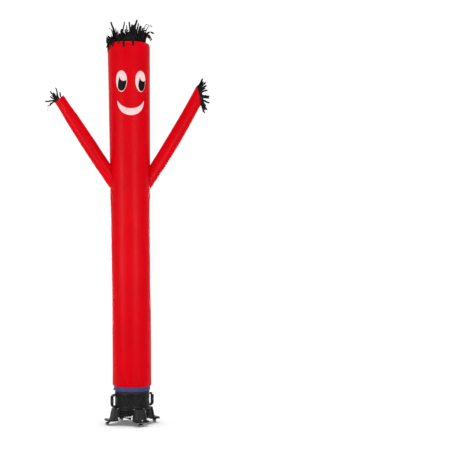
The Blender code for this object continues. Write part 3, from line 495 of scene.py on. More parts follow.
def finish_of(name):
    """Materials are made once, when a piece first asks for one."""
    if name not in MATERIALS:
        cloth, blower = bpy.context.scene.air_dancer_cloth, bpy.context.scene.air_dancer_blower
        red, black, white, blue, plastic = map(
            tuple, (cloth.red, cloth.black, cloth.white, cloth.blue, blower.plastic))
        make, *values = {
            "red": (nylon, "red_nylon", red, scaled(red, 0.84)),
            "black": (ribbon_cloth, "black_strip_cloth", black, scaled(black, 2.6)),
            "white_patch": (applique, "white_patch_cloth", white, scaled(white, 0.90),
                            (0.88, 0.82, 0.83)),
            "black_patch": (applique, "black_patch_cloth", (0.0035, 0.003, 0.003),
                            (0.0025, 0.002, 0.0022), (0.012, 0.012, 0.013)),
            # The cuff's second colour is a painted highlight for the webbing's raised threads.
            "blue": (webbing, "blue_webbing", blue, (0.035, 0.045, 0.22)),
            "hook": (hook_tape, "black_loop_tape", (0.014, 0.013, 0.016), (0.034, 0.033, 0.038)),
            "plastic": (moulded, "black_moulded_plastic", plastic, scaled(plastic, 1.9)),
            "grip": (moulded, "black_grip_plastic", scaled(plastic, 0.7), scaled(plastic, 1.2),
                     1500.0, 0.52),
            "steel": (plated, "plated_steel", (0.66, 0.66, 0.68), (0.34, 0.33, 0.34)),
            "rubber": (tread, "black_rubber", (0.017, 0.017, 0.018), (0.055, 0.053, 0.052)),
        }[name]
        MATERIALS[name] = make(*values)
    return MATERIALS[name]


def scaled(color, share):
    """A colour with each part multiplied by share."""
    return tuple(share * part for part in color)


# ------------------------------------------------------------------------ body tube
def side_radius(z):
    """Radius FOOT_R + (HEAD_R - FOOT_R) t^2, t running from the foot to the shoulder."""
    t = np.clip((z - TUBE_FOOT) / (SHOULDER_Z - TUBE_FOOT), 0, 1)
    return FOOT_R + (HEAD_R - FOOT_R) * t * t


def drift(z):
    """Sideways lean, in proportion to height."""
    return LEAN * (z - TUBE_FOOT)


CROWN_MIDDLE = np.array((drift(CROWN), 0.0, CROWN))


def creases(azimuth, z):
    """Outward relief of the tube's side: gathers that die out above the cuff, pull lines that
    run from each armhole, slow waves up the side and a felled seam down the back."""
    up = z - TUBE_FOOT
    gather = 0.0024 * np.exp(-up / 0.055) * (np.cos(27 * azimuth) + 0.5 * np.cos(44 * azimuth + 1))
    slow = 0.0011 * np.sin(3 * azimuth + 1.7 * z) * np.sin(2.3 * z + 0.5)
    ripple = 0.00045 * np.sin(9 * azimuth + 4 * np.sin(1.9 * z)) * np.sin(5.1 * z)
    found = gather + slow + ripple
    for side in (-1, 1):
        off = np.angle(np.exp(1j * (azimuth - ARM_TURN - side * math.pi / 2))) * side_radius(z)
        rise = z - 2.085
        far = np.hypot(off, rise)
        found = found + 0.0022 * bell(far - 0.09, 0.055) * np.cos(9 * np.arctan2(rise, off))
    seam = np.abs(np.angle(np.exp(1j * (azimuth - math.pi)))) * side_radius(z)
    return found + 0.0010 * smooth_step((0.0075 - seam) / 0.0012)


def on_tube(azimuth, z, lift=0.0):
    """A point of the tube's side at an azimuth and height, lifted off it."""
    found = polar(side_radius(z) + creases(azimuth, z) + lift, azimuth, z)
    found[..., 0] += drift(z)
    return found


def tube_surface(columns):
    """The whole tube [height, azimuth]: tucked foot, side, rounded shoulder, puckered crown and
    the turned hem of the vent."""
    azimuth = turns(columns)[None]
    foot = ((0.0, 0.0122), (0.004, 0.0076), (0.012, 0.0020), (0.022, 0.0))
    rows = [on_tube(azimuth, TUBE_FOOT + up, -inset)[0] for up, inset in foot]
    for low, high, count in (
        (TUBE_FOOT + 0.03, 0.62, 22), (0.64, 1.86, 56), (1.88, 2.32, 44), (2.34, SHOULDER_Z, 46),
    ):
        rows += [on_tube(azimuth, z)[0] for z in np.linspace(low, high, count)]
    centre = HEAD_R - SHOULDER
    for a in np.radians(np.linspace(8, 90, 11)):
        z = SHOULDER_Z + SHOULDER * math.sin(a)
        radius = centre + SHOULDER * math.cos(a)
        pucker = 0.0012 * np.cos(PUCKERS * azimuth) * math.sin(2 * a) + 0.0012 * bell(a - 0.8, 0.12)
        fade = creases(azimuth, SHOULDER_Z) * math.cos(a)
        rows.append(polar(radius + pucker + fade, azimuth, z)[0] + (drift(z), 0, 0))
    for radius in np.linspace(centre - 0.012, VENT_R, 9):
        sag = 0.0016 * np.cos(PUCKERS * azimuth) * (radius / centre) ** 3 - 0.0016
        rows.append(polar(radius, azimuth, sag)[0] + CROWN_MIDDLE)
    for radius, z in ((VENT_R - 0.0012, -0.0030), (VENT_R + 0.004, -0.0052)):
        rows.append(polar(radius, azimuth, z)[0] + CROWN_MIDDLE)
    return np.array(rows)


# ------------------------------------------------------------------------ arms and hands
class Sleeve:
    """One arm: sections round a line from inside the tube to the sewn end of the hand."""

    def __init__(self, name, side, root, tip, end, radii, bow):
        self.name = name
        self.plane = np.array((math.cos(ARM_TURN), math.sin(ARM_TURN), 0.0))
        out = side * self.plane
        self.depth = np.cross(out, UP)
        self.near = 1.0 if self.depth[1] > 0 else -1.0
        hub = np.array((drift(root[1]), 0, 0))
        self.start = hub + out * root[0] + UP * root[1]
        self.tip = hub + out * tip[0] + UP * tip[1]
        self.along = unit(self.tip - self.start)
        across = np.cross(self.depth, self.along)
        self.across = across if across[2] < 0 else -across
        self.radii, self.bow = np.array(radii), bow
        self.half, tilt = end
        self.end_across = self.across * math.cos(tilt) - self.along * math.sin(tilt)
        self.end_along = self.along * math.cos(tilt) + self.across * math.sin(tilt)

    def point(self, t, angle):
        """centre(t) + across r cos angle + depth r sin angle, turning into the sewn end."""
        t, angle = np.broadcast_arrays(t, angle)
        radius = np.interp(t, *self.radii.T)[..., None]
        close = smooth_step((t - 0.78) / 0.22)[..., None]
        across = self.across * radius * (1 - close) + self.end_across * self.half * close
        bend = (self.bow * 4 * t * (1 - t))[..., None]
        centre = self.start + (self.tip - self.start) * t[..., None] + self.across * bend
        return (centre + across * np.cos(angle)[..., None]
                + self.depth * radius * np.sin(angle)[..., None])

    def start_share(self, angle):
        """The share of the line at which each long thread meets the tube, by halving."""
        low, high = np.zeros(angle.shape), np.full(angle.shape, 0.45)
        for _ in range(30):
            middle = (low + high) / 2
            spot = self.point(middle, angle)
            radius = np.hypot(spot[..., 0] - drift(spot[..., 2]), spot[..., 1])
            azimuth = np.arctan2(spot[..., 0] - drift(spot[..., 2]), -spot[..., 1])
            inside = radius < side_radius(spot[..., 2]) + creases(azimuth, spot[..., 2])
            low, high = np.where(inside, middle, low), np.where(inside, high, middle)
        return (low + high) / 2


LEFT = Sleeve(
    "left", -1, root=(0.088, 2.048), tip=(0.625, 2.868), end=(0.0480, math.radians(8)),
    radii=((0, 0.052), (0.19, 0.057), (0.30, 0.061), (0.55, 0.061), (0.80, 0.056), (1, 0.049)),
    bow=0.0)
RIGHT = Sleeve(
    "right", 1, root=(0.092, 2.050), tip=(0.6095, 2.9150), end=(0.0855, math.radians(47)),
    radii=((0, 0.052), (0.19, 0.057), (0.30, 0.061), (0.52, 0.061), (0.75, 0.058), (1, 0.055)),
    bow=0.012)


def sleeve_surface(arm, columns=96, rows=110):
    """The sleeve [along, round]: pull lines at the root, soft cross folds, a seam underneath."""
    angle = turns(columns)[None]
    share = np.linspace(0, 1, rows)[:, None] ** 1.15
    first = arm.start_share(angle)
    t = first + (1 - first) * share
    body = arm.point(t, angle)
    outward = unit(body - arm.point(t, angle + math.pi))
    pull = 0.0022 * np.exp(-share / 0.10) * np.cos(11 * angle + 0.6)
    pull = pull * smooth_step(share / 0.02)
    folds = 0.0007 * np.sin(38 * t + 1.5 * np.cos(angle)) * np.sin(7 * t + 1.1) * (1 - share)
    ends = 0.0016 * smooth_step((t - 0.86) / 0.14) * np.cos(13 * angle)
    seam = 0.0008 * smooth_step((0.10 - np.abs(np.angle(np.exp(1j * angle)))) / 0.02)
    return body + outward * (pull + folds + ends + seam)[..., None]


def ribbons(shape, root, rise, fall, tip, across, width, taper=0.35, twist=0.6, rows=14, cols=4,
            clear=None):
    """Cut strips. Each centre line is the cubic (1-s)^3 root + 3s(1-s)^2 rise + 3s^2(1-s) fall
    + s^3 tip; the width turns about it by twist s, narrows by taper s^2 and is slightly cupped."""
    s = np.linspace(0, 1, rows)[None, :, None]
    root, rise, fall, tip = (np.asarray(x, float)[:, None] for x in (root, rise, fall, tip))
    line = ((1 - s) ** 3 * root + 3 * s * (1 - s) ** 2 * rise + 3 * s * s * (1 - s) * fall
            + s**3 * tip)
    heading = unit(np.gradient(line, axis=1))
    side = across[:, None] - heading * np.sum(across[:, None] * heading, -1, keepdims=True)
    side = unit(side)
    turn = np.reshape(twist, (-1, 1, 1)) * s
    wide = side * np.cos(turn) + np.cross(heading, side) * np.sin(turn)
    lift = np.cross(heading, wide)
    x = np.linspace(-0.5, 0.5, cols)
    size = np.reshape(width, (-1, 1, 1)) * (1 - np.reshape(taper, (-1, 1, 1)) * s * s)
    cup = 0.12 * size * (1 - 4 * x[None, None] ** 2)
    points = (line[:, :, None] + wide[:, :, None] * (size * x)[..., None]
              + lift[:, :, None] * cup[..., None])
    if clear:
        points = clear(points)
    for strip in points:
        shape.grid(strip)
    length = np.linalg.norm(np.diff(line, axis=1), axis=2).sum(1)
    return float(np.sum(length * np.mean(size[..., 0], 1)))


def off_tube(points, gap=0.0022):
    """Moves points that are inside the tube's outline, or nearer than gap, out to it: away from
    the axis below the shoulder, from the shoulder's centre circle on it, and up on the crown."""
    axis = drift(points[..., 2])
    x, y, z = points[..., 0] - axis, points[..., 1], points[..., 2]
    radius, azimuth = np.hypot(x, y), np.arctan2(x, -y)
    centre = HEAD_R - SHOULDER
    far = np.hypot(radius - centre, z - SHOULDER_Z)
    scale = np.maximum((SHOULDER + gap) / np.maximum(far, 1e-9), 1.0)
    round_r, round_z = centre + (radius - centre) * scale, SHOULDER_Z + (z - SHOULDER_Z) * scale
    on_side, on_crown = z < SHOULDER_Z, radius < centre
    new_r = np.where(on_side, np.maximum(radius, side_radius(z) + creases(azimuth, z) + gap),
                     np.where(on_crown, radius, round_r))
    new_z = np.where(on_side, z, np.where(on_crown, np.maximum(z, CROWN + gap), round_z))
    return polar(new_r, azimuth, new_z) + np.stack((axis, 0 * axis, 0 * axis), -1)


def crown_brush(rng, shape, radius, count, short, long, lean, spread):
    """One ring of upright strips in uneven tufts: each tip stands length above its root, leaning
    outwards by lean and sideways at random."""
    azimuth = (np.arange(count) + rng.uniform(-0.35, 0.35, count)) * math.tau / count
    way, side = ways(azimuth)
    root = way * radius + UP * 0.0005 + CROWN_MIDDLE
    tuft = 0.5 + 0.5 * np.sin(7 * azimuth + 0.8) * np.cos(3 * azimuth - 0.5)
    share = 0.45 * rng.uniform(0, 1, count) ** 1.6 + 0.55 * tuft**1.5
    length = (short + (long - short) * share)[:, None]
    sway, out = rng.normal(0, spread, (2, count, 1))
    tip = root + length * (UP + way * (lean + 0.6 * out) + side * sway)
    rise = root + length * 0.45 * (UP + side * rng.normal(0, 0.25, (count, 1)))
    fall = tip - length * (0.30 * UP + side * rng.normal(0, 0.35, (count, 1)))
    return ribbons(shape, root, rise, fall, tip, side, rng.uniform(0.014, 0.020, count),
                   twist=rng.normal(0, 0.6, count), clear=off_tube)


def edge_drape(rng, shape, low, high, count, top, foot):
    """Strips that rise a little, arch over the crown's edge between two azimuths and end on the
    tube's side, from top above the crown down to foot below it."""
    azimuth = np.radians(rng.uniform(low, high, count))
    way = polar(1.0, azimuth, 0.0)
    root = way * 0.1455 + UP * 0.0005 + CROWN_MIDDLE
    aside = azimuth + rng.normal(0, 0.10, count)
    share = rng.uniform(0, 1, count)
    tip = polar(0.201 - 0.010 * share, aside, top - (top + foot) * share) + CROWN_MIDDLE
    rise = root + UP * rng.uniform(0.030, 0.058, (count, 1)) + way * 0.008
    fall = tip + UP * rng.uniform(0.025, 0.060, (count, 1))
    flat = polar(1.0, azimuth + math.pi / 2 + rng.normal(0, 0.5, count), 0.0)
    return ribbons(shape, root, rise, fall, tip, flat, rng.uniform(0.012, 0.018, count),
                   0.25, rng.normal(0, 0.5, count), rows=18, clear=off_tube)


# Strands that stand out from the brush, in millimetres from the middle of the crown: the root's
# azimuth in degrees and radius, the tip (right, forward, up), how far the strand rises before it
# turns and how far it falls into its tip, the width and the twist
STRANDS = (
    (305, 136, (-158, 70, 178), 100, -60, 17, 0.3), (300, 138, (-140, 80, 112), 80, -20, 15, 0.6),
    (290, 140, (-174, 30, 126), 112, 0, 12, 0.9), (312, 136, (-128, 90, 92), 70, -20, 16, 0.4),
    (332, 138, (-36, 120, 172), 60, -50, 11, 0.3), (328, 134, (-62, 110, 112), 60, -30, 14, -0.4),
    (8, 138, (2, 150, 168), 60, -40, 13, -0.5), (2, 132, (14, 130, 124), 60, -30, 16, 0.5),
    (11, 132, (72, 120, 190), 80, -60, 19, 0.3), (14, 128, (50, 110, 150), 70, -40, 16, -0.3),
    (27, 130, (86, 100, 164), 70, -50, 14, 0.5), (20, 120, (34, 90, 146), 60, -40, 16, -0.4),
    (24, 138, (62, 130, 108), 60, -30, 18, 0.5), (46, 132, (112, 60, 120), 150, 60, 11, 1.6),
    (42, 136, (94, 80, 84), 120, 40, 12, 1.2), (60, 136, (178, 40, 144), 130, 55, 9, 1.6),
    (75, 138, (206, 20, 142), 120, 40, 8, 1.2), (84, 138, (220, 0, 86), 112, 24, 14, 0.5),
    (66, 138, (202, 60, 22), 98, 60, 19, 0.3), (72, 140, (184, 70, 74), 88, 10, 18, -0.3),
    (58, 140, (178, 90, 42), 84, 45, 17, 0.4), (62, 134, (160, 80, 62), 100, 40, 17, -0.4),
    (80, 142, (190, 20, 46), 84, 40, 16, 0.4), (90, 142, (196, -20, 20), 74, 50, 16, -0.4),
    (54, 136, (150, 96, 96), 90, 20, 19, 0.3), (64, 138, (172, 82, 28), 92, 56, 20, -0.3),
    (50, 132, (128, 84, 128), 80, -20, 17, 0.6), (16, 126, (58, 104, 132), 60, -40, 19, 0.3),
    (6, 130, (30, 120, 150), 66, -50, 17, -0.4), (36, 134, (100, 90, 138), 70, -30, 18, 0.4),
    (343, 147, (-42, 178, -56), 16, 44, 19, 0.0), (12, 147, (37, 180, -46), 14, 38, 18, 0.1),
    (328, 147, (-88, 160, -26), 14, 30, 13, -0.2), (150, 140, (90, -170, 60), 110, 30, 15, 0.8),
    (175, 140, (20, -180, 96), 110, 10, 14, 1.2), (200, 140, (-70, -168, 40), 100, 40, 16, -0.6),
    (222, 140, (-120, -110, 150), 80, -40, 13, 0.9), (140, 134, (110, -90, 165), 80, -40, 12, -1.0),
    (186, 130, (-20, -110, 176), 80, -50, 14, 0.7), (162, 146, (52, -178, -52), 30, 44, 15, 0.2),
    (276, 147, (-193, 30, -90), 34, 62, 18, 0.2), (288, 147, (-188, 62, -72), 30, 50, 16, -0.3),
    (281, 145, (-196, 44, -50), 40, 56, 17, 0.4),
)


def hair(shape):
    """Strips sewn round the crown: a dense short brush, then the strands that stand out, arch
    over the edges or hang down. Gives their cut area."""
    rng = np.random.default_rng(7)
    area = 0.0
    for radius, count, short, long, lean in (
        (0.142, 60, 0.034, 0.104, 0.10), (0.132, 54, 0.040, 0.122, 0.0),
        (0.121, 40, 0.042, 0.132, -0.1), (0.108, 26, 0.045, 0.120, -0.2),
    ):
        area += crown_brush(rng, shape, radius, count, short, long, lean, 0.30)
    for low, high, count, top, foot in (
        (258, 300, 15, 0.050, 0.070), (274, 314, 11, 0.000, 0.112), (228, 262, 7, 0.03, 0.060),
    ):
        area += edge_drape(rng, shape, low, high, count, top, foot)
    azimuth, radius, tip, rise, fall, width, twist = (
        np.array(column, float) for column in zip(*STRANDS))
    azimuth, plan = np.radians(azimuth), (1, 1, 0)
    root = polar(radius / 1000, azimuth, 0.0005) + CROWN_MIDDLE
    flat = polar(1.0, np.where(tip[:, 2] > 30, 0.3, azimuth) + math.pi / 2, 0.0)
    tip = tip * (0.001, -0.001, 0.001) + CROWN_MIDDLE
    rise = root + rise[:, None] * UP / 1000 + 0.12 * (tip - root) * plan
    fall = tip + fall[:, None] * UP / 1000 - 0.35 * (tip - root) * plan
    area += ribbons(shape, root, rise, fall, tip, flat, 1.25 * width / 1000, 0.25, twist, rows=20,
                    clear=off_tube)
    azimuth, foot, tall = turns(180)[None], 0.1385, 0.018
    z = np.linspace(0.0, tall, 5)[:, None]
    ruffle = 0.0022 * np.sin(23 * azimuth) * (0.3 + z / tall)
    shape.grid(polar(foot + ruffle, azimuth, 0.0004 + z) + CROWN_MIDDLE, True)
    return area + math.tau * foot * tall


# Strips of each hand: the place across the sewn end from -1, its upper side, to 1, the side of
# it that shows, 1 for the near side or -1 for the far, then the direction in the arms' plane in
# degrees, the length, width and twist
HANDS = {
    "left": (
        (1.0, 0, 229, 100, 11, 1.6), (0.97, 1, 216, 84, 11, 0.9), (0.92, -1, 200, 60, 12, 0.6),
        (0.88, 1, 178, 96, 14, 0.2), (0.78, -1, 165, 62, 13, 0.7), (0.70, 1, 152, 62, 14, 0.5),
        (0.62, -1, 146, 76, 13, 0.5), (0.52, 1, 139, 90, 15, -0.2), (0.42, -1, 133, 70, 14, 0.4),
        (0.32, 1, 127, 96, 15, 0.2), (0.22, -1, 121, 78, 14, -0.3), (0.12, 1, 117, 98, 14, 0.2),
        (0.02, -1, 110, 62, 13, 0.3), (-0.42, 1, 92, 42, 13, 0.1),
    ),
    "right": (
        (-1.0, 0, 52, 94, 14, 0.2), (-0.93, 1, 49, 90, 17, 0.1), (-0.84, -1, 45, 94, 16, 0.3),
        (-0.76, 1, 40, 90, 18, -0.2), (-0.64, 1, 34, 82, 18, 0.2), (-0.54, -1, 32, 88, 16, -0.3),
        (-0.42, 1, 21, 66, 17, 0.2), (-0.26, 1, 12, 78, 16, 0.2), (-0.10, -1, 8, 82, 15, 0.3),
        (0.06, 1, 6, 84, 16, -0.2), (0.22, 1, -2, 82, 16, 0.2), (0.36, -1, -14, 72, 15, 0.5),
        (0.48, 1, -26, 86, 17, 0.1), (0.62, 1, -34, 66, 16, 0.3), (0.74, -1, -46, 86, 14, 0.2),
        (0.85, 1, -58, 84, 16, -0.2), (0.94, 1, -66, 90, 15, 0.4), (1.0, 0, -74, 70, 14, 0.6),
    ),
}


def hand_fringe(shape, arm, reach, band):
    """Strips sewn inside the sleeve's end, each on a cubic that leaves along the arm and ends in
    its own direction, over a standing band. The band runs round the part of the end whose
    cosine is above reach. Gives their cut area."""
    rng = np.random.default_rng(5)
    c, face, theta, length, width, twist = (
        np.array(column, float) for column in zip(*HANDS[arm.name]))
    s, theta, length = -face * np.sqrt(1 - c * c), np.radians(theta), length[:, None] / 1000
    wide, deep = arm.half - 0.006, arm.radii[-1, 1] - 0.006
    root = (arm.tip + arm.end_across * (wide * c)[:, None]
            + arm.depth * arm.near * (deep * s)[:, None] + arm.end_along * 0.001)
    way = arm.plane * np.cos(theta)[:, None] + UP * np.sin(theta)[:, None]
    aside = rng.normal(0, 0.10, (2, len(c), 1)) * np.cross(way, arm.depth)
    tip = root + length * (way + arm.depth * arm.near * (0.35 * s)[:, None] + aside[0])
    rise = root + length * (0.25 * arm.end_along + 0.15 * way)
    fall = tip - length * (0.3 * way + aside[1])
    around = unit(np.cross(way, arm.depth) + arm.depth * rng.normal(0, 0.35, (len(c), 1)))
    area = ribbons(shape, root, rise, fall, tip, around, width / 1000, 0.18, twist)
    limit = math.acos(reach)
    angle = np.linspace(-limit, limit, 90)[None, :, None]
    rise = np.linspace(-0.004, band, 6)[:, None, None]
    flare = 1 + 0.03 * np.sin(13 * angle) * np.maximum(rise, 0) / band
    ring = (arm.tip + arm.end_along * rise
            + arm.end_across * (arm.half - 0.0026) * np.cos(angle) * flare
            + arm.depth * (arm.radii[-1, 1] - 0.0026) * np.sin(angle) * flare)
    shape.grid(ring)
    return area + band * limit * (arm.half + arm.radii[-1, 1])


# ------------------------------------------------------------------------ face
def lay_patch(name, node, finish, spot, flat, edge, size, under, lift, wrap=True):
    """Lays a flat grid of (across, up) points on the tube at spot, an azimuth and a height. edge
    is each point's distance from the patch's edge, for its stitching."""
    azimuth, z = spot
    turn = azimuth + flat[..., 0] / side_radius(z)
    points = on_tube(turn, z + flat[..., 1], lift + PATCH_THICK)
    outline, rim = np.concatenate((flat[0], flat[-1][::-1])), flat[-1]
    if wrap:
        outline, rim = rim, np.concatenate((rim, rim[:1]))
        edge = np.concatenate((edge, edge[:, :1]), 1)
    uv = np.stack((np.broadcast_to(run(rim), edge.shape), edge), -1)
    patch = Shape().grid(points, wrap, uv=uv).make(
        name, finish, stands_for=(node,), thick=PATCH_THICK)
    outline_area(outline)


def oval_rim(angle):
    """An upright oval, a little narrower below."""
    wide = 0.0520 * (1 + 0.06 * np.sin(angle))
    return np.stack((wide * np.cos(angle), 0.0925 * np.sin(angle)), -1)


# Where the lines of a pupil's grid start
PUPIL_EYE = np.array((-0.002, -0.026))


def pupil_rim(widen):
    """A round bite between two horns, then a smooth closed run through the side and foot; the
    whole is widened from its right edge."""
    bite = arc((0.0160, 0.0520), 0.0360, 316, 172, 44)
    low = np.array(((-0.0245, 0.0420), (-0.0305, 0.0220), (-0.0365, 0.0000), (-0.0390, -0.0230),
                    (-0.0350, -0.0450), (-0.0250, -0.0620), (-0.0090, -0.0695), (0.0090, -0.0665),
                    (0.0240, -0.0510), (0.0345, -0.0270), (0.0400, 0.0000)))
    knots = np.concatenate((bite[-1:], low, bite[:1]))
    slope = np.gradient(knots, axis=0)
    t = np.linspace(0, 1, 9)[:-1, None, None]
    a, b = knots[None, :-1], knots[None, 1:]
    run_in, run_out = slope[None, :-1], slope[None, 1:]
    curve = ((2 * t**3 - 3 * t**2 + 1) * a + (t**3 - 2 * t**2 + t) * run_in
             + (3 * t**2 - 2 * t**3) * b + (t**3 - t**2) * run_out)
    rim = np.concatenate((bite[:-1], curve.transpose(1, 0, 2).reshape(-1, 2)))
    return (rim - (0.040, 0)) * (widen, 1) + (0.040, 0)


def fan_grid(rim, centre, rows):
    """Flat points between a centre and a rim, with each point's distance from the rim."""
    share = np.linspace(0, 1, rows)[:, None] ** 0.7
    flat = centre + (rim - centre) * share[..., None]
    return flat, (1 - share) * np.linalg.norm(rim - centre, axis=-1)[None]


def smile_grid(rows=9, cols=110):
    """A crescent between two arcs that share their ends, with distance from the nearer arc."""
    half = 0.1240
    t = np.linspace(-1, 1, cols)
    arcs = []
    for drop in (0.0690, 0.1290):
        radius = (half * half + drop * drop) / (2 * drop)
        reach = math.asin(min(1.0, half / radius))
        reach = math.pi - reach if drop > half else reach
        angle = t * reach
        arcs.append(np.stack((radius * np.sin(angle), radius - drop - radius * np.cos(angle)), -1))
    share = np.linspace(0, 1, rows)[:, None, None]
    flat = arcs[0] * (1 - share) + arcs[1] * share
    gap = np.linalg.norm(arcs[1] - arcs[0], axis=-1)[None]
    return flat, np.minimum(share[..., 0], 1 - share[..., 0]) * gap


# ------------------------------------------------------------------------ drum
STEP = math.tau / DRUM_SIDES
TAB_HALF = math.radians(11.5)  # half the angle between the seams above a leg
RIB_SPACING = 0.0566  # distance between neighbouring ribs of one family
RIB_LINES = np.array((0.0, 2.0, 3.1, 3.8, 4.5, 5.4, 6.8, 9.0)) / 1000
RIB_LIFT = np.array((1.9, 2.1, 2.5, 2.3, 0.0, -0.75, -0.45, 0.0)) / 1000


def lattice_steps():
    """Places 0 to 1 across a diamond: close together by the ribs, and alike from both ends."""
    near = RIB_LINES / RIB_SPACING
    inner = np.linspace(near[-1], 1 - near[-1], 9)[1:-1]
    return np.concatenate((near, inner, 1 - near[::-1]))


def rib_relief(p, q):
    """Lift of the wall near whole numbers p or q: the higher rib, or else the deeper groove."""
    lifts = [np.interp(np.abs(x - np.round(x)) * RIB_SPACING, RIB_LINES, RIB_LIFT) for x in (p, q)]
    high, low = np.maximum(*lifts), np.minimum(*lifts)
    return np.where(high > 0, high, low)


def wall_point(p, q):
    """The lattice's own axes on the drum: height (p + q) / 2, azimuth p - q + 1 sides."""
    z = LOWER_RIM + (WALL_TOP - LOWER_RIM) * (p + q) / 2
    return polar(WALL_R + rib_relief(p, q), (p - q + 1) * STEP + BLOWER_TURN, z)


def lattice(shape):
    """The wall as whole and half diamonds whose grids run along the ribs."""
    t = lattice_steps()
    last = len(t) - 1
    v, u = np.meshgrid(np.arange(last), np.arange(last), indexing="ij")
    for k in range(DRUM_SIDES // 2):
        for shift in (-1, 0, 1):
            p = k + np.broadcast_to(t, (last + 1, last + 1))
            q = -k + shift + np.broadcast_to(t[:, None], p.shape)
            if shift == 0:
                shape.grid(wall_point(p, q))
                continue
            edge = 0 if shift < 0 else 2
            below = (p + q < edge) if shift < 0 else (p + q > edge)
            fold = np.where(below, (edge - (p + q)) / 2, 0)
            keep = (u + v > last - 1) if shift < 0 else (u + v < last - 1)
            shape.grid(wall_point(p, q), keep=keep)
            rim = (u + v == last - 1)
            shape.grid(wall_point(p + fold, q + fold), keep=rim)


def drum(shape):
    """Rims, neck, lip and bore turned round the axis, and the lattice between the rims."""
    p = (np.arange(DRUM_SIDES // 2)[:, None] + lattice_steps()[:-1]).ravel()
    azimuth = ((2 * p + 1) * STEP + BLOWER_TURN)[None]
    meet = WALL_R + rib_relief(p, -p)[None]
    edge, fine = 0.0016, 0.0005

    def rings(*profile):
        profile = np.array(profile)
        return polar(profile[:, :1], azimuth, profile[:, 1:])

    low = rings(
        (BORE_R, DRUM_FOOT), (RIM_R - edge, DRUM_FOOT), (RIM_R - fine, DRUM_FOOT + fine),
        (RIM_R, DRUM_FOOT + edge), (RIM_R, LOWER_RIM - edge), (RIM_R - fine, LOWER_RIM - fine),
        (RIM_R - edge, LOWER_RIM), (RIB_R + fine, LOWER_RIM))
    top = rings(
        (RIB_R + fine, WALL_TOP), (RIM_R - edge, WALL_TOP), (RIM_R - fine, WALL_TOP + fine),
        (RIM_R, WALL_TOP + edge), (RIM_R, RIM_TOP - 0.0034), (RIM_R - 0.0009, RIM_TOP - 0.0012),
        (RIM_R - 0.0030, RIM_TOP), (NECK_R + 0.0008, RIM_TOP + 0.0004),
        (NECK_R, RIM_TOP + 0.0016), (NECK_R, NECK_TOP - 0.0010), (NECK_R - 0.0010, NECK_TOP),
        (BORE_R + 0.0010, NECK_TOP), (BORE_R, NECK_TOP - 0.0010), (BORE_R, DRUM_FOOT))
    shape.grid(np.concatenate((low, polar(meet, azimuth, LOWER_RIM))), True)
    lattice(shape)
    shape.grid(np.concatenate((polar(meet, azimuth, WALL_TOP), top)), True)


def rim_tab(shape, azimuth):
    """A shallow plate on the lower rim above a leg: a bevelled section carried along the rim."""
    low, high, lift, sunk, edge = DRUM_FOOT + 0.0022, LOWER_RIM - 0.0022, 0.0012, 0.0008, 0.0006
    out, up = np.array(((-sunk, low), (lift - edge, low), (lift, low + edge), (lift, high - edge),
                        (lift - edge, high), (-sunk, high))).T
    turn = azimuth + np.linspace(-TAB_HALF, TAB_HALF, 24)[:, None]
    shape.grid(capped(polar(RIM_R + out, turn, up)), True)


def bracket_bar(shape, azimuth, wide=0.0240, around=40):
    """A handle: sections between an outer line and a scalloped inner line, each a rounded
    rectangle (|cos|^0.30, |sin|^0.30)."""
    foot, low, high, bar, far, grip = 0.1512, 0.1500, 0.2720, 0.0190, 0.2040, 0.1805

    def line(far, top, bottom, corner):
        """From the drum out along the top, down the far side and back along the bottom."""
        edge = far - corner
        parts = (
            np.linspace((foot, top), (edge, top), 10),
            arc((edge, top - corner), corner, 90, 0, 14),
            np.linspace((far, top - corner), (far, bottom + corner), 90),
            arc((edge, bottom + corner), corner, 0, -90, 14),
            np.linspace((edge, bottom), (foot, bottom), 10))
        return np.concatenate([part[:-1] for part in parts[:-1]] + [parts[-1]])

    outer, inner = line(far, high, low, 0.0340), line(grip, high - bar, low + bar, 0.0130)
    height, pitch = inner[:, 1] - (low + high) / 2, 0.0150
    ridge = (0.5 + 0.5 * np.cos(math.tau * height / pitch)) ** 2
    inside = smooth_step((inner[:, 0] - grip + 0.0008) / 0.0008)
    hold = smooth_step((1.75 * pitch - np.abs(height)) / (0.25 * pitch))
    inner[:, 0] -= 0.0024 * ridge * inside * hold
    c, s = (np.sign(f) * np.abs(f) ** 0.30 for f in (np.cos(turns(around)), np.sin(turns(around))))
    centre, half = (outer + inner) / 2, (outer - inner) / 2
    flat = centre[:, None] + half[:, None] * c[None, :, None]
    out, side = ways(azimuth)
    shape.grid(capped(
        flat[..., :1] * out + UP * flat[..., 1:] + (s * wide / 2)[None, :, None] * side), True)


# ------------------------------------------------------------------------ base
BASE_TOP, STRIP_FOOT, LEG_FOOT, PLATE_BORE, SHELL = 0.1450, 0.1357, 0.0450, 0.1350, 0.0040


def leg_size(z):
    """Face distance, half width, corner radius and skirt radius, all linear in height."""
    drop = BASE_TOP - z
    return 0.181 + 0.200 * drop, 0.050 + 0.109 * drop, 0.016 + 0.044 * drop, 0.163 + 0.098 * drop


def leg_edge(z):
    """Azimuth, from the leg's middle, at which the leg's side meets the skirt."""
    _, half, _, skirt = leg_size(z)
    return np.arcsin((half + 0.001) / skirt)


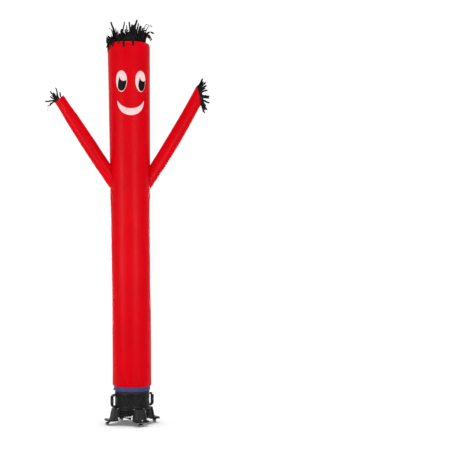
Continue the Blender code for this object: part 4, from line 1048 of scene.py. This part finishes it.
def leg_plan(z, steps=9):
    """Plan points (across, out) of one leg at each height: side, corner, face, corner, side."""
    face, half, corner, skirt = (np.asarray(x)[..., None] for x in leg_size(z))
    edge = leg_edge(z)[..., None]
    side = np.linspace(0, 1, 6)[:-1]
    start = (-skirt * np.sin(edge), skirt * np.cos(edge))
    a = np.linspace(math.pi, math.pi / 2, steps)
    x = -half + corner + corner * np.cos(a)
    y = face - corner + corner * np.sin(a)
    left = np.concatenate((start[0] + (x[..., :1] - start[0]) * side, x), -1)
    out = np.concatenate((start[1] + (y[..., :1] - start[1]) * side, y), -1)
    across = np.linspace(-1, 1, 9)[1:-1] * (half - corner)
    crown = face + 0 * across
    return (np.concatenate((left, across, -left[..., ::-1]), -1),
            np.concatenate((out, crown, out[..., ::-1]), -1))


def base_rows(z, inset=0.0):
    """Points of the base's outline at each height, all round, moved in by inset, and which of
    them are on a leg."""
    across, out = leg_plan(z)
    count = across.shape[-1]
    edge = leg_edge(z)[..., None]
    skirt = leg_size(z)[3][..., None]
    t = np.linspace(0, 1, 22)[1:-1]
    angle = edge + (math.pi / 2 - 2 * edge) * t
    found, tags = [], []
    for leg in range(4):
        turn = leg_turn(leg)
        radius, azimuth = np.hypot(across, out), np.arctan2(across, out) + turn
        found += [polar(radius - inset, azimuth, z[..., None])]
        found += [polar(skirt - inset, angle + turn, z[..., None])]
        tags += [np.ones(count, bool), np.zeros(len(t), bool)]
    return np.concatenate(found, -2), np.concatenate(tags)


def base(shape):
    """The ring on top, its rounded edge and the four hollow legs, as one open sheet."""
    z = np.concatenate(([BASE_TOP, BASE_TOP - 0.0006, BASE_TOP - 0.0022],
                        np.linspace(BASE_TOP - 0.004, STRIP_FOOT, 3),
                        np.linspace(STRIP_FOOT, LEG_FOOT, 22)[1:]))
    inset = np.zeros(len(z))
    inset[:2] = 0.0022, 0.0006
    rows, tags = base_rows(z, inset[:, None])
    way = unit(rows[0] * (1, 1, 0))
    plate = [way * PLATE_BORE * (1 - f) + rows[0] * (1, 1, 0) * f + (0, 0, BASE_TOP)
             for f in (0.0, 0.35, 0.7)]
    points = np.concatenate((rows[::-1], np.array(plate)[::-1]))
    flange = 0.0016 * smooth_step((LEG_FOOT + 0.012 - points[..., 2]) / 0.012)
    points = points + unit(points * (1, 1, 0)) * flange[..., None]
    middle = (points[:-1, :, 2] + points[1:, :, 2]) / 2
    on_leg = tags & np.roll(tags, -1)
    shape.grid(points, True, keep=(middle > STRIP_FOOT - 1e-6) | on_leg)


def ledge(shape, azimuth):
    """A foot: a rounded plan carried up through a bevelled profile, with a shallow recess
    round the caster's bolt."""
    half, inner, outer, corner, small = 0.0635, 0.1560, 0.2440, 0.0150, 0.0060
    plan = np.concatenate([
        arc((side * (half - radius), y), radius, start, start - 90, count)
        for side, radius, y, start, count in (
            (-1, small, inner + small, 270, 5), (-1, corner, outer - corner, 180, 12),
            (1, corner, outer - corner, 90, 12), (1, small, inner + small, 0, 5))])
    middle = np.array((0.0, (inner + outer) / 2))
    way = unit(plan - middle)
    profile = ((0.0016, 0.0380), (0.0004, 0.0385), (0.0, 0.0396), (0.0, 0.0462), (-0.0008, 0.0470),
               (-0.0008, 0.0484), (0.0, 0.0492), (0.0, 0.0516), (0.0005, 0.0525), (0.0016, 0.0530),
               (0.0060, 0.0530), (0.0068, 0.0524))
    rings = [(middle + 0 * plan, profile[0][1]), *((plan - way * inset, z) for inset, z in profile),
             (middle + 0 * plan, profile[-1][1])]
    rows = [polar(np.hypot(*ring.T), np.arctan2(*ring.T) + azimuth, z) for ring, z in rings]
    shape.grid(np.array(rows), True)


GRILLE_TOP, COLUMNS = STRIP_FOOT - 0.0003, 9
COLUMN_STEP, HOLE_HALF, GRILLE_HALF = math.radians(5.35), math.radians(2.0), math.radians(24)
ROW_STEP, HOLE_TALL, TOP_ROW = 0.0205, 0.0155, 0.1255
ARCH_TOP, ARCH_DROP = 0.0700, 0.0245


def arch(angle):
    """Lower edge of a grille: highest in the middle, dropping as angle^1.7."""
    return ARCH_TOP - ARCH_DROP * (np.abs(angle) / GRILLE_HALF) ** 1.7


def grille(shape, azimuth):
    """Nine columns of three holes and an arched hole at each end. Rows follow the holes' edges
    and, below them, the arch."""
    angles, hole = [], []
    for column in range(COLUMNS):
        middle = (column - (COLUMNS - 1) / 2) * COLUMN_STEP
        angles += [middle - HOLE_HALF, middle, middle + HOLE_HALF]
        hole += [True, True, False]
    angles = np.array([-GRILLE_HALF, *angles, GRILLE_HALF])
    hole = np.array([False] + hole)
    levels = [GRILLE_TOP]
    for row in range(3):
        middle = TOP_ROW - row * ROW_STEP
        levels += [middle + HOLE_TALL / 2, middle - HOLE_TALL / 2]
    low, last = arch(angles), levels[-1]
    levels += [last - 0.20 * (last - low), last - 0.82 * (last - low), low]
    z = np.array([level + 0 * angles for level in reversed(levels)])
    turn = np.broadcast_to(angles, z.shape).copy()
    room = math.pi / 4 - leg_edge(z) - 0.0038
    turn[:, 0], turn[:, -1] = -room[:, 0], room[:, -1]
    points = polar(leg_size(z)[3], turn + azimuth, z)
    rows = np.arange(len(z) - 1)[::-1, None]
    outermost = np.abs(angles) > 3.5 * COLUMN_STEP
    open_row = np.isin(rows, (1, 3, 5)) | (rows == 7) & outermost[:-1] & outermost[1:]
    shape.grid(points, keep=~(open_row & hole))


# ------------------------------------------------------------------------ small fittings
def hexagon(shape, centre, across, low, high):
    """A hexagon nut or bolt head: r = apothem / cos(angle from the nearest flat), with its top
    chamfered."""
    a, apothem = turns(48), across / 2
    flats = apothem / np.cos((a + math.pi / 6) % (math.pi / 3) - math.pi / 6)
    top = np.minimum(flats, 1.06 * apothem) - 0.0006
    rows = ((0, low), (flats, low), (flats, high - 0.0008), (top, high), (0, high))
    shape.grid(np.array([polar(r, a, z) for r, z in rows]) + centre, True)


# ------------------------------------------------------------------------ settings
class AirDancerCloth(PropertyGroup):
    """Colours and make of the cloth."""

    red: FloatVectorProperty(
        name="Tube", description="Colour of the tube and arms", subtype="COLOR",
        default=(0.635, 0.0, 0.005), min=0, max=1)
    black: FloatVectorProperty(
        name="Fringe", description="Colour of the hair and hand strips", subtype="COLOR",
        default=(0.0030, 0.0028, 0.0030), min=0, max=1)
    white: FloatVectorProperty(
        name="Face", description="Colour of the eyes and the smile", subtype="COLOR",
        default=(0.92, 0.585, 0.575), min=0, max=1)
    blue: FloatVectorProperty(
        name="Cuff", description="Colour of the strap round the outlet", subtype="COLOR",
        default=(0.012, 0.014, 0.095), min=0, max=1)
    columns: IntProperty(
        name="Tube columns", description="Points round the tube", default=176, min=64, max=320)
    thickness: FloatProperty(
        name="Thickness", description="Thickness of the tube's cloth", subtype="DISTANCE",
        default=0.0006, min=0.0002, max=0.003)


class AirDancerBlower(PropertyGroup):
    """Colours and make of the blower."""

    plastic: FloatVectorProperty(
        name="Plastic", description="Colour of the drum and base", subtype="COLOR",
        default=(0.0048, 0.0042, 0.0041), min=0, max=1)
    bevel: FloatProperty(
        name="Edges", description="Rounding of moulded edges", subtype="DISTANCE",
        default=0.0008, min=0.0001, max=0.003)


class AirDancerStage(PropertyGroup):
    """Camera, floor and lights."""

    distance: FloatProperty(
        name="Distance", description="From the camera to the object", subtype="DISTANCE",
        default=12.0, min=2, max=40)
    height: FloatProperty(
        name="Height", description="Of the camera above the floor", subtype="DISTANCE",
        default=1.76, min=0.1, max=6)
    yaw: FloatProperty(
        name="Yaw", description="The camera's turn to its right", subtype="ANGLE",
        default=math.radians(3.93), min=-1, max=1)
    view: FloatProperty(
        name="View", description="The camera's angle of view", subtype="ANGLE",
        default=math.radians(18.92), min=0.05, max=2)
    sky: FloatProperty(
        name="Sky", description="Brightness of the surroundings", default=1.02, min=0, max=4)
    overhead: FloatProperty(
        name="Overhead", description="Strength of the light from above", default=1.7, min=0, max=10)


# ------------------------------------------------------------------------ operators
class Maker:
    """What the operators share."""

    bl_options = {"REGISTER", "UNDO"}

    def execute(self, context):
        self.build(context.scene)
        return {"FINISHED"}


class AIRDANCER_OT_tube(Maker, Operator):
    """Make the tube of the body."""

    bl_idname = "air_dancer.tube"
    bl_label = "Body tube"

    def build(self, scene):
        cloth = scene.air_dancer_cloth
        tube = Shape().grid(tube_surface(cloth.columns), True).make(
            "body_cloth", "red", stands_for=("body_tube",), thick=cloth.thickness)


class AIRDANCER_OT_arms(Maker, Operator):
    """Make both sleeves."""

    bl_idname = "air_dancer.arms"
    bl_label = "Arms"

    def build(self, scene):
        for arm in (LEFT, RIGHT):
            sleeve = Shape().grid(sleeve_surface(arm), True).make(
                f"sleeve_{arm.name}", "red", stands_for=(f"arm_{arm.name}",),
                thick=scene.air_dancer_cloth.thickness)


class AIRDANCER_OT_fringes(Maker, Operator):
    """Make the strips of the hair and of both hands."""

    bl_idname = "air_dancer.fringes"
    bl_label = "Hair and hands"

    def build(self, scene):
        shape = Shape()
        area = hair(shape)
        made = shape.make("hair_strips", "black", stands_for=("hair_fringe",), thick=STRIP_THICK)
        area / 0.13
        for arm, reach, band in ((LEFT, 0.0, 0.016), (RIGHT, -1.0, 0.030)):
            shape = Shape()
            area = hand_fringe(shape, arm, reach, band)
            made = shape.make(f"hand_strips_{arm.name}", "black", thick=STRIP_THICK,
                              stands_for=(f"hand_fringe_{arm.name}",))
            area / 0.08


class AIRDANCER_OT_face(Maker, Operator):
    """Make the eyes, pupils and smile, each a stitched patch."""

    bl_idname = "air_dancer.face"
    bl_label = "Face"

    def build(self, scene):
        for name, side, widen in (("left", -1, 1.0), ("right", 1, 0.89)):
            azimuth = ARM_TURN + side * math.radians(27.5)
            lay_patch(f"eye_{name}", f"eye_white_{name}", "white_patch", (azimuth, EYE_Z),
                      *fan_grid(oval_rim(turns(120)), np.zeros(2), 12), (0.106, 0.185),
                      "body_cloth", PATCH_GAP)
            lay_patch(f"eye_pupil_{name}", f"pupil_{name}", "black_patch",
                      (azimuth + 0.030, EYE_Z - 0.015), *fan_grid(pupil_rim(widen), PUPIL_EYE, 10),
                      (0.080, 0.122), f"eye_{name}", 2 * PATCH_GAP + PATCH_THICK)
        flat, edge = smile_grid()
        lay_patch("smile_patch", "smile", "white_patch", (ARM_TURN - 0.025, 2.8490), flat[::-1],
                  edge, (0.250, 0.130), "body_cloth", PATCH_GAP, wrap=False)


class AIRDANCER_OT_cuff(Maker, Operator):
    """Make the strap round the outlet, with its lap and loose tail."""

    bl_idname = "air_dancer.cuff"
    bl_label = "Cuff"

    def build(self, scene):
        low, high, thick, inner = 0.2990, 0.3360, 0.0016, 0.1568
        past = np.linspace(-DRUM_SIDES, 0.65, 330)[None]
        azimuth = BLOWER_TURN + (past + DRUM_SIDES - 9) * STEP
        over = smooth_step((past + 0.35) / 0.4) * 0.0030 + smooth_step((past - 0.35) / 0.3) * 0.006
        v = np.linspace(0, 1, 12)[:, None]
        tall = high - 0.024 * smooth_step(past / 0.6) - low
        ripple = 0.0005 * np.sin(19 * azimuth + 3 * v) * np.sin(math.pi * v)
        lip = 0.0005 * (bell(v - 0.04, 0.03) + bell(v - 0.96, 0.03))
        radius = inner + thick + over + ripple + lip + 0.0006
        cuff = Shape().grid(polar(radius, azimuth, low + tall * v)).make(
            "cuff_strap", "blue", stands_for=("cuff",), thick=thick, bevel=0.0005)


class AIRDANCER_OT_drum(Maker, Operator):
    """Make the ribbed drum, the outlet's lip and the loop tape round the neck."""

    bl_idname = "air_dancer.drum"
    bl_label = "Drum"

    def build(self, scene):
        shape = Shape()
        drum(shape)
        for leg in range(4):
            rim_tab(shape, leg_turn(leg))
        shape.make("ribbed_drum", "plastic", stands_for=("drum",), sharp=28)
        lip = rounded(((0.1402, 0.3140), (0.1562, 0.3140), (0.1562, 0.3190), (0.1554, 0.3200),
                       (0.1554, 0.3262), (0.1562, 0.3285), (0.1402, 0.3285)), 0.0012)
        Shape().grid(turned(lip, 160), True, True).make(
            "outlet_lip", "plastic", stands_for=("outlet_flange",))
        self.tape()
        self.staples()

    def tape(self):
        """Loop tape whose end laps over its start."""
        low, high, radius = 0.2790, 0.3125, 0.1512
        past = np.linspace(-math.tau, 0.16, 300)[None]
        over = 0.0018 * smooth_step((past + 0.05) / 0.05)
        z = low + (high - low) * np.linspace(0, 1, 8)[:, None]
        tape = Shape().grid(polar(radius + over, past + math.tau - math.radians(82), z)).make(
            "neck_tape", "hook", stands_for=("neck_band",), thick=0.0016)

    def staples(self):
        """A wire along each edge of the tape, over its lap, with a rivet at each end."""
        shape, azimuth, reach = Shape(), math.radians(204), 0.022
        rivet = ((0, 0), (0.0009, 0), (0.0009, 0.0006), (0.0005, 0.0009), (0, 0.0009))
        for z in (0.2828, 0.3088):
            for end in (-reach, reach):
                spot = polar(0.1518, azimuth + end, z)
                shape.grid(turned(rivet, 12, spot, unit(spot * (1, 1, 0))), True)
            line = polar(0.1524, azimuth + np.linspace(-reach, reach, 12), z)
            a = turns(10)[:, None]
            ring = np.cos(a) * unit(line[0] * (1, 1, 0)) + np.sin(a) * UP
            shape.grid(capped(line[:, None] + 0.0005 * ring), True)
        shape.make("tape_staples", "steel")


class AIRDANCER_OT_handles(Maker, Operator):
    """Make the two scalloped handles and their screws."""

    bl_idname = "air_dancer.handles"
    bl_label = "Handles"

    def build(self, scene):
        screws = Shape()
        screw = ((0, -0.002), (0.0026, -0.002), (0.0026, 0.0004), (0.0021, 0.0008),
                 (0.0011, 0.0008), (0.0009, 0.0002), (0, 0.0002))
        for name, leg in (("left", -1), ("right", 1)):
            shape = Shape()
            bracket_bar(shape, leg_turn(leg))
            shape.make(f"grip_{name}", "grip", stands_for=(f"handle_{name}",), sharp=60)
            out, side = ways(leg_turn(leg))
            for r, z in ((0.1880, 0.2565), (0.1925, 0.2110), (0.1880, 0.1655)):
                for face in (-side, side):
                    screws.grid(turned(screw, 20, out * r + UP * z + face * 0.0117, face), True)
        screws.make("handle_screws", "steel")


class AIRDANCER_OT_base(Maker, Operator):
    """Make the legs, their ledges, the grilles and the bolts."""

    bl_idname = "air_dancer.base"
    bl_label = "Base"

    def build(self, scene):
        sheet = {"thick": SHELL, "bevel": scene.air_dancer_blower.bevel, "sharp": 30}
        shape = Shape()
        base(shape)
        shape.make("leg_shell", "plastic", stands_for=("base",), **sheet)
        ledges = Shape()
        for leg in range(4):
            ledge(ledges, leg_turn(leg))
        ledges.make("leg_ledges", "plastic", sharp=30)
        for leg in range(4):
            shape = Shape()
            grille(shape, leg_turn(leg + 0.5))
            shape.make(f"grid_{leg + 1}", "plastic", stands_for=(f"grille_{leg + 1}",), **sheet)
        bolts = Shape()
        washer = ((0, 0.1451), (0.0056, 0.1451), (0.0056, 0.1457), (0, 0.1458))
        spread, distance = math.radians(16.5), 0.1612
        for leg in range(4):
            for side in (-1, 1):
                spot = polar(distance, leg_turn(leg) + side * spread, 0.0)
                bolts.grid(turned(washer, 24, spot), True)
                hexagon(bolts, spot, 0.0078, 0.1456, 0.1492)
        bolts.make("ring_bolts", "steel",
                   stands_for=tuple(f"flange_bolt_{number}" for number in range(1, 9)))


class AIRDANCER_OT_motor(Maker, Operator):
    """Make the motor, its bracket and the tie eye with its ring."""

    bl_idname = "air_dancer.motor"
    bl_label = "Motor and tie eye"

    def build(self, scene):
        self.motor()
        refined("motor_bracket", "plastic", ROOT, 0.0006)
        self.tie_eye()

    def motor(self):
        """A drum with 24 cooling fins between plain ends."""
        a, low, high, radius = turns(144), 0.0760, 0.1560, 0.0550
        rows = []
        for r, z, fin in ((0, low, 0), (0.30, low, 0), (0.86, low, 0), (1, low + 0.008, 0),
                          (1, low + 0.012, 1), (1, high - 0.014, 1), (1, high - 0.008, 0),
                          (0.86, high, 0), (0.2, high, 0), (0, high, 0)):
            groove = 0.0022 * fin * (np.cos(24 * a) < 0)
            rows.append(polar(np.maximum(r * radius - groove - 0.0002, 0), a, z))
        Shape().grid(np.array(rows), True).make(
            "motor_case", "plastic", stands_for=("motor",), sharp=30)

    def tie_eye(self):
        """A steel loop on a round foot, and the rubber ring that hangs in it."""
        out, across = ways(math.pi - STEP + BLOWER_TURN)
        eye_r, eye_wire, ring_r, ring_wire = 0.0050, 0.0012, 0.0065, 0.0016
        root = out * 0.1500 + UP * 0.2190
        centre = root + out * (0.0013 + eye_r + eye_wire)
        foot = ((0, -0.001), (0.0052, -0.001), (0.0052, 0.0004), (0.0030, 0.0012), (0.0015, 0.0026),
                (0, 0.0026))
        eye = Shape().grid(torus(centre, out, UP, eye_r, eye_wire), True, True)
        eye.grid(turned(foot, 32, root, out), True)
        eye.make("tie_eye_wire", "steel", stands_for=("tie_eye",))
        ring = centre - UP * (eye_r - eye_wire - ring_wire - 0.0003 + ring_r)
        Shape().grid(torus(ring, across, UP, ring_r, ring_wire), True, True).make(
            "tie_loop", "rubber", stands_for=("tie_ring",))


class AIRDANCER_OT_casters(Maker, Operator):
    """Make the four braked swivel casters."""

    bl_idname = "air_dancer.casters"
    bl_label = "Casters"

    def build(self, scene):
        for number in (1, 2, 3, 4):
            self.stem(number)
            self.wheel(number)
            refined(f"fork_{number}", "plastic", f"caster_{number}", 0.0005)
            refined(f"axle_{number}", "steel", f"caster_{number}", 0.0003)
            refined(f"pedal_{number}", "grip", f"brake_{number}", 0.0006)

    def stem(self, number):
        """Race plate, bolt and nut, all on the kingpin's line."""
        spot = np.array(JOINTS[f"swivel_{number}"]["pos_m"]) * (1, 1, 0)
        profile = ((0, 0.0314), (0.0108, 0.0314), (0.0115, 0.0320), (0.0115, 0.0340),
                   (0.0104, 0.0354), (0.0104, 0.0372), (0.0098, 0.0377), (0.0040, 0.0377),
                   (0.0040, 0.0598))
        thread = [(0.0040 - 0.0004 * (k % 2), 0.0598 + 0.0003 * k) for k in range(1, 5)]
        washer = ((0.0038, 0.0531), (0.0090, 0.0531), (0.0090, 0.0540), (0.0038, 0.0542))
        bolt = turned((*profile, *thread, (0.0026, 0.0612), (0, 0.0612)), 40, spot)
        shape = Shape().grid(bolt, True).grid(turned(washer, 40, spot), True, True)
        hexagon(shape, spot, 0.0126, 0.0540, 0.0586)
        shape.make(f"king_bolt_{number}", "steel", stands_for=(f"stem_{number}",))

    def wheel(self, number):
        """A rubber tyre round a plated hub with a dark cap on each side."""
        joint = JOINTS[f"spin_{number}"]
        centre, way = np.array(joint["pos_m"]), unit(np.array(joint["axis"], float))
        body, half, radius = f"wheel_{number}", 0.0060, 0.0128
        tyre = ((0.0079, half), (radius - 0.0018, half), (radius, half - 0.0020), (radius, 0.0),
                (radius, -half + 0.0020), (radius - 0.0018, -half), (0.0079, -half))
        Shape().grid(turned(rounded(tyre, 0.0008, 2), 56, centre, way), True, True).make(
            f"tread_{number}", "rubber", body, (f"tyre_{number}",))
        near, far, deep = half + 0.0003, half - 0.0004, half - 0.0014
        hub = ((0.0050, near), (0.0072, near), (0.0076, far), (0.0076, -far), (0.0072, -near),
               (0.0050, -near), (0.0046, -deep), (0.0026, -deep), (0.0026, deep), (0.0046, deep))
        Shape().grid(turned(rounded(hub, 0.0003, 2), 48, centre, way), True, True).make(
            f"hub_ring_{number}", "steel", body, (f"hub_{number}",))
        caps = Shape()
        cap = ((0.0026, 0), (0.0044, 0), (0.0044, 0.0006), (0.0036, 0.0009), (0.0026, 0.0009))
        for face in (-way, way):
            caps.grid(turned(cap, 32, centre + face * deep, face), True, True)
        caps.make(f"hub_cap_{number}", "plastic", body)


class AIRDANCER_OT_stage(Maker, Operator):
    """Set the floor, the lights and the camera."""

    bl_idname = "air_dancer.stage"
    bl_label = "Stage"

    def build(self, scene):
        stage = scene.air_dancer_stage
        self.floor(scene)
        self.sky(scene, stage.sky)
        for name, azimuth, far, low, high, wide, power in (
            ("strip_left", -50, 3.4, 0.75, 2.95, 0.36, 210),
            ("strip_right", 27, 3.6, 0.75, 2.95, 0.36, 210),
            ("rim_left", -158, 3.0, 0.60, 2.10, 0.50, 26),
            ("rim_right", 158, 3.0, 0.90, 2.20, 0.50, 30),
        ):
            middle = (low + high) / 2
            spot = polar(far, math.radians(azimuth), middle)
            self.lamp(scene, name, spot, (0, 0, middle), (wide, high - low), power)
        self.lamp(scene, "front", (-1.2, -8.0, 3.0), (0, 0, 1.8), (3.0, 3.0), 120, matt=True)
        light = bpy.data.lights.new("overhead", "SUN")
        light.energy, light.angle = stage.overhead, math.radians(25)
        scene.collection.objects.link(bpy.data.objects.new("overhead", light))
        camera = bpy.data.cameras.new("camera")
        camera.sensor_width, camera.clip_end = 36, 200
        camera.lens = camera.sensor_width / 2 / math.tan(stage.view / 2)
        holder = bpy.data.objects.new("camera", camera)
        holder.location = (0, -stage.distance, stage.height)
        holder.rotation_euler = (math.pi / 2, 0, -stage.yaw)
        scene.collection.objects.link(holder)
        scene.camera = holder
        scene.view_settings.view_transform = "Standard"

    def floor(self, scene):
        """A wide round floor, almost white."""
        finish = Finish("pale_floor", (0.90, 0.90, 0.90), 0.85, specular=0.1)
        pale = finish.blend(finish.noise(0.8, 3.0), (0.90, 0.90, 0.90), (0.92, 0.92, 0.92))
        material = finish.dress(pale, 0.85, finish.noise(30.0, 4.0), 0.0004, 0.3)
        radius = np.linspace(0, 60, 9)[::-1, None]
        shape = Shape().grid(polar(radius, turns(64)[None], -0.0002), True)
        mesh = bpy.data.meshes.new("floor")
        mesh.from_pydata(np.concatenate(shape.points), [], np.concatenate(shape.faces))
        tidy(mesh, False)
        if mesh.polygons[0].normal.z < 0:
            mesh.flip_normals()
        mesh.materials.append(material)
        floor = bpy.data.objects.new("floor", mesh)
        scene.collection.objects.link(floor)

    def sky(self, scene, strength):
        """A white world, dimmer overhead, so that what stands in it keeps its own colours."""
        world = bpy.data.worlds.new("pale_room")
        world.use_nodes = True
        nodes, links = world.node_tree.nodes, world.node_tree.links
        place, split = nodes.new("ShaderNodeTexCoord"), nodes.new("ShaderNodeSeparateXYZ")
        height = nodes.new("ShaderNodeMapRange")
        for socket, value in (("From Min", 0.30), ("From Max", 1.0), ("To Min", strength),
                              ("To Max", strength * 0.4)):
            height.inputs[socket].default_value = value
        links.new(place.outputs["Generated"], split.inputs[0])
        links.new(split.outputs["Z"], height.inputs["Value"])
        links.new(height.outputs["Result"], nodes["Background"].inputs["Strength"])
        nodes["Background"].inputs["Color"].default_value = (1, 1, 1, 1)
        scene.world = world

    def lamp(self, scene, name, spot, aim, size, power, matt=False):
        """A rectangular area light at spot, turned towards aim. It makes highlights only, or, if
        matt, lights without any highlight."""
        light = bpy.data.lights.new(name, "AREA")
        light.shape, light.energy = "RECTANGLE", power
        light.size, light.size_y = size
        holder = bpy.data.objects.new(name, light)
        holder.location = spot
        way = Vector(aim) - Vector(spot)
        holder.rotation_euler = way.to_track_quat("-Z", "Y").to_euler()
        holder.visible_diffuse, holder.visible_glossy = matt, not matt
        scene.collection.objects.link(holder)


class AIRDANCER_PT_panel(Panel):
    """Lists the settings and the pieces."""

    bl_idname = "AIRDANCER_PT_panel"
    bl_label = "Air Dancer"
    bl_space_type = "VIEW_3D"
    bl_region_type = "UI"
    bl_category = "Air Dancer"

    def draw(self, context):
        scene = context.scene
        for group in (scene.air_dancer_cloth, scene.air_dancer_blower, scene.air_dancer_stage):
            box = self.layout.box()
            for name in group.__annotations__:
                box.prop(group, name)
        for operator in OPERATORS:
            self.layout.operator(operator.bl_idname)


GROUPS = {"air_dancer_cloth": AirDancerCloth, "air_dancer_blower": AirDancerBlower,
          "air_dancer_stage": AirDancerStage}
OPERATORS = (
    AIRDANCER_OT_stage, AIRDANCER_OT_tube, AIRDANCER_OT_arms, AIRDANCER_OT_fringes,
    AIRDANCER_OT_face, AIRDANCER_OT_cuff, AIRDANCER_OT_drum, AIRDANCER_OT_handles,
    AIRDANCER_OT_base, AIRDANCER_OT_motor, AIRDANCER_OT_casters,
)


def register():
    for name, group in GROUPS.items():
        bpy.utils.register_class(group)
        setattr(bpy.types.Scene, name, PointerProperty(type=group))
    for operator in OPERATORS:
        bpy.utils.register_class(operator)
    bpy.utils.register_class(AIRDANCER_PT_panel)


def unregister():
    bpy.utils.unregister_class(AIRDANCER_PT_panel)
    for operator in reversed(OPERATORS):
        bpy.utils.unregister_class(operator)
    for name, group in GROUPS.items():
        delattr(bpy.types.Scene, name)
        bpy.utils.unregister_class(group)


def main():
    register()
    for operator in OPERATORS:
        family, name = operator.bl_idname.split(".")
        getattr(getattr(bpy.ops, family), name)()


if __name__ == "__main__":
    main()
